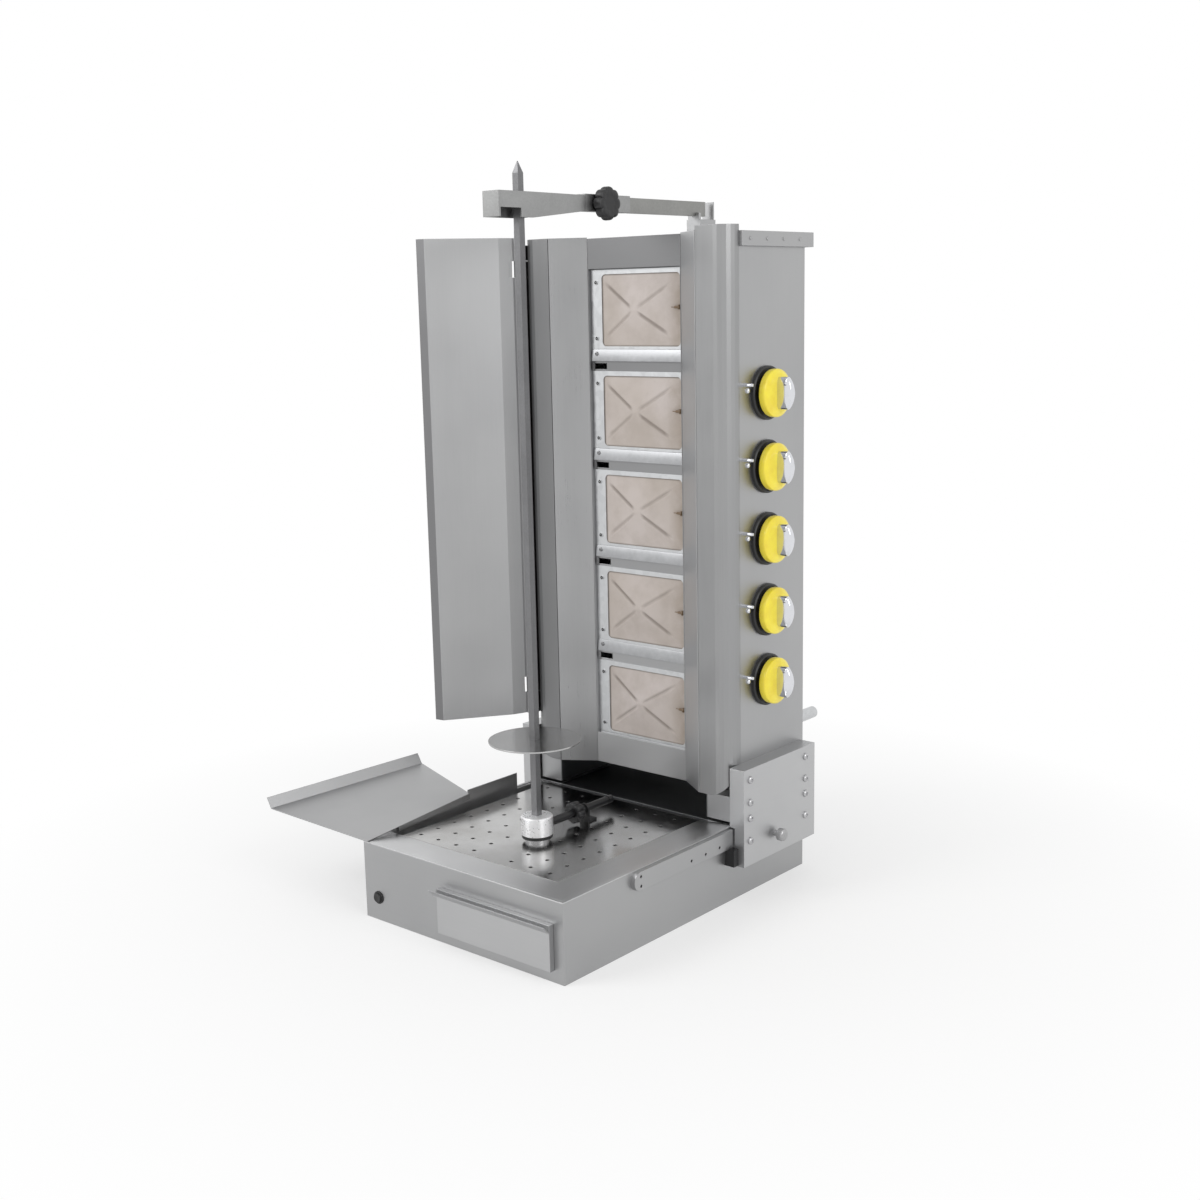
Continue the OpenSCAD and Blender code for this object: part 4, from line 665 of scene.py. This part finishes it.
def blade_points(middle):
    """Handle as a stack of rounded outlines from the dial outwards. Across, each is a flattened ellipse,
    and upright its reach falls off as a circle does, which gives the D shape. A round pocket for the
    stem opens at its root."""
    t = np.linspace(0, 1, handle_rows)[:, None]
    a = np.linspace(0, 2 * np.pi, handle_columns, endpoint=False)[None, :]
    out = handle_long * t
    from_tip = out - handle_long + handle_round
    reach = np.minimum(handle_reach, np.sqrt(np.maximum(handle_round ** 2 - from_tip ** 2, 0)) + handle_tip)
    thick = handle_thick * (1 - 0.16 * t - 0.10 * t ** 6)
    z = np.sign(np.sin(a)) * np.abs(np.sin(a)) ** 0.45 * reach
    y = np.sign(np.cos(a)) * np.abs(np.cos(a)) ** 0.7 * thick
    x = knob_back + handle_root + out * 0.98 + 0 * a
    body = np.stack([x, knob_y + y, middle + z], -1)
    deep = np.array([pocket_floor, pocket_floor, handle_root])[:, None] + 0 * a
    wide = stem_bore * np.array([0, 1, 1])[:, None]
    pocket = np.stack([knob_back + deep, knob_y + wide * np.cos(a), middle + wide * np.sin(a)], -1)
    tip = body[-1:].mean(1, keepdims=True)
    return np.concatenate([pocket, body, np.repeat(tip, handle_columns, 1)])


for number, middle in enumerate(knob_z, 1):
    disc = turned_piece(f"dial_{number}", disc_profile, (knob_back, knob_y, middle), (1, 0, 0), turns=128,
                        ring=True)
    blade = grid_piece(f"dial_blade_{number}", blade_points(middle), closed_v=True)
    for piece, finish, slot in ((disc, yellow, "yellow_dial"), (blade, chrome, "polished_stainless")):
        finish.paint(piece)
        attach(piece, f"knob_{number}")
    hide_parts(f"gas_knob_{number}")


# Beside each dial two small bright studs stand on the column's side: a long pin, and a domed head below
# and behind it.
pin_profile = [(0, 0), (0.0030, 0), (0.0030, 0.0170), (0.0024, 0.0184), (0.0012, 0.0190), (0, 0.0191)]
head_profile = [(0, 0), (0.0046, 0), (0.0046, 0.0014), (0.0038, 0.0032), (0.0022, 0.0042), (0, 0.0045)]
side_x, pin_y, pin_up, head_y, head_up = 0.2248, 0.146, 0.016, 0.157, 0.006
studs = []
for middle in knob_z:
    studs.append(turned_piece("pin", pin_profile, (side_x, pin_y, middle + pin_up), (1, 0, 0), turns=28))
    studs.append(turned_piece("head", head_profile, (side_x, head_y, middle + head_up), (1, 0, 0), turns=32))
side_studs = joined("side_studs", studs)
chrome.paint(side_studs)
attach(side_studs, "column")


# Two folded brackets carry the column along the rails on black plastic pads, which also stand as painted
# shade in the gap between each bracket and the base, and sixteen domed socket screws hold them to its sides.
bolt_profile = [(0, 0.0096), (0.0024, 0.0096), (0.0025, 0.0110), (0.0030, 0.0113), (0.0050, 0.0106),
                (0.0062, 0.0090), (0.0065, 0.0074), (0.0065, 0.0071), (0.0039, 0.0071), (0.0039, 0.0), (0, 0)]
bolt_x, bolt_y, bolt_z = 0.248, (0.119, 0.288), (0.218, 0.178, 0.150, 0.110)
brushed_sheet("stainless_bracket", "y", 0.50, 0.32).paint(part["bracket_left"], part["bracket_right"])
black_plastic.paint(part["slide_pads"])
socket_screws = joined("socket_screws", [
    turned_piece("bolt", bolt_profile, (sign * bolt_x, y, z), (sign, 0, 0), turns=36)
    for sign in (-1, 1) for y in bolt_y for z in bolt_z])
plain_metal("bright_bolt", (0.50, 0.50, 0.51), 1.0, 0.25).paint(socket_screws)
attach(socket_screws, "column")
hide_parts("bracket_bolts")


# The column is locked on its rails by one knurled steel screw on each side.
def knurl(angle, height):
    """Fine ribs along the screw's head."""
    return 1 + 0.012 * np.cos(36 * angle)


shank_profile = [(0, 0), (0.0045, 0), (0.005, 0.0006), (0.005, 0.032), (0, 0.032)]
knurled_profile = [(0, 0), (0.0095, 0), (0.0108, 0.0012), (0.0108, 0.0095), (0.0100, 0.0118), (0.0080, 0.0134),
                   (0.0045, 0.0140), (0, 0.0140)]
shank_x, knurled_x, clamp_y, clamp_z = 0.2335, 0.263, 0.193, 0.103
clamp_steel = plain_metal("clamp_steel", (0.42, 0.42, 0.425), 1.0, 0.3)
for side, sign in (("left", -1), ("right", 1)):
    shank = turned_piece("shank", shank_profile, (sign * shank_x, clamp_y, clamp_z), (sign, 0, 0), turns=40)
    head = turned_piece("head", knurled_profile, (sign * knurled_x, clamp_y, clamp_z), (sign, 0, 0), knurl, 144)
    clamp = joined(f"clamp_{side}", [shank, head])
    clamp_steel.paint(clamp)
    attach(clamp, f"clamp_{side}")
    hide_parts(f"clamp_screw_{side}")


# Over the lid a flat steel bar carries the fork that holds the spit's top. A large star grip of black
# thermoset clamps the fork on the bar with a bright threaded shank.
arm_radius, arm_face, grip_thick, shank_radius, shank_over = 0.027, 0.0147, 0.016, 0.004, 0.001
plain_metal("bar_steel", (0.30, 0.30, 0.29), 1.0, 0.40).paint(part["arm_bar"])
plain_metal("fork_steel", (0.33, 0.332, 0.33), 1.0, 0.34).paint(part["arm_fork"])
arm_low, arm_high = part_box("arm_grip")
grip_x, grip_y, grip_z = arm_high.x - grip_thick, (arm_low.y + arm_high.y) / 2, (arm_low.z + arm_high.z) / 2
shank_long = grip_x - arm_low.x + shank_over
arm_star = turned_piece("arm_star", star_profile(arm_radius, 0.0)[1:-1] + [(0, arm_face)],
                        (grip_x, grip_y, grip_z), (1, 0, 0), eight_lobes, lobe_turns)
arm_shank = turned_piece("arm_shank", [(0, 0), (0.0035, 0), (shank_radius, 0.0005), (shank_radius, shank_long),
                                       (0, shank_long)], (arm_low.x, grip_y, grip_z), (1, 0, 0), turns=40)
black_plastic.paint(arm_star)
plain_metal("bright_shank", (0.5, 0.5, 0.51), 1.0, 0.3).paint(arm_shank)
for piece, slot in ((arm_star, "black_plastic"), (arm_shank, "stainless")):
    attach(piece, "arm_grip")
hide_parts("arm_grip")


# The heat wing is one sheet with a folded front edge that swings on a pin at the column's left side.
# The hinge has a dark fixed leaf between its two tabs, and the wing's notches at the tabs are only as
# deep as the leaf needs.
def prism(name, outline, low, high):
    """Upright block over a convex outline of (x, y) points."""
    ring = np.array([[(x, y, z) for x, y in outline] for z in (low, high)])
    caps = np.repeat(ring.mean(1, keepdims=True), len(outline), 1)
    return grid_piece(name, np.concatenate([caps[:1], ring, caps[1:]]), closed_v=True, smooth=False)


wing_fold_x = -0.3248
# The wing's folded front edge is painted darker beyond wing_fold_x, as painted shade where it turns from the
# light.
wing_sheet = brushed_sheet("stainless_wing", "z", fold_x=wing_fold_x)
hinge_steel = plain_metal("hinge_steel", (0.20, 0.20, 0.205), 1.0, 0.35)
hinge_steel.paint(part["wing_pin"])

leaf_outline = [(-0.2281, 0.1000), (-0.2251, 0.1000), (-0.2251, 0.1335), (-0.2281, 0.1335)]
leaf_spans = [(0.2620, 0.3016), (0.3304, 1.0616), (1.0904, 1.1170)]
hinge_leaf = joined("hinge_leaf", [prism("leaf", leaf_outline, low, high) for low, high in leaf_spans])
hinge_steel.paint(hinge_leaf)
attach(hinge_leaf, "column")

pin_spot = np.array((-0.2340, 0.1000))
along_wing, off_wing = np.array((-0.3584, -0.9336)), np.array((-0.9336, 0.3584))
flap_reach = [(0.0075, 0.0035), (0.0125, 0.0035), (0.0120, 0.0050), (0.0075, 0.0050)]
flap_lows, flap_high = (0.3017, 1.0617), 0.0286
flap_outline = [tuple(pin_spot + along_wing * along + off_wing * off) for along, off in flap_reach]
wing_flaps = joined("wing_flaps", [prism("flap", flap_outline, low, low + flap_high) for low in flap_lows])
wing_sheet.paint(part["wing"], wing_flaps)
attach(wing_flaps, "wing")
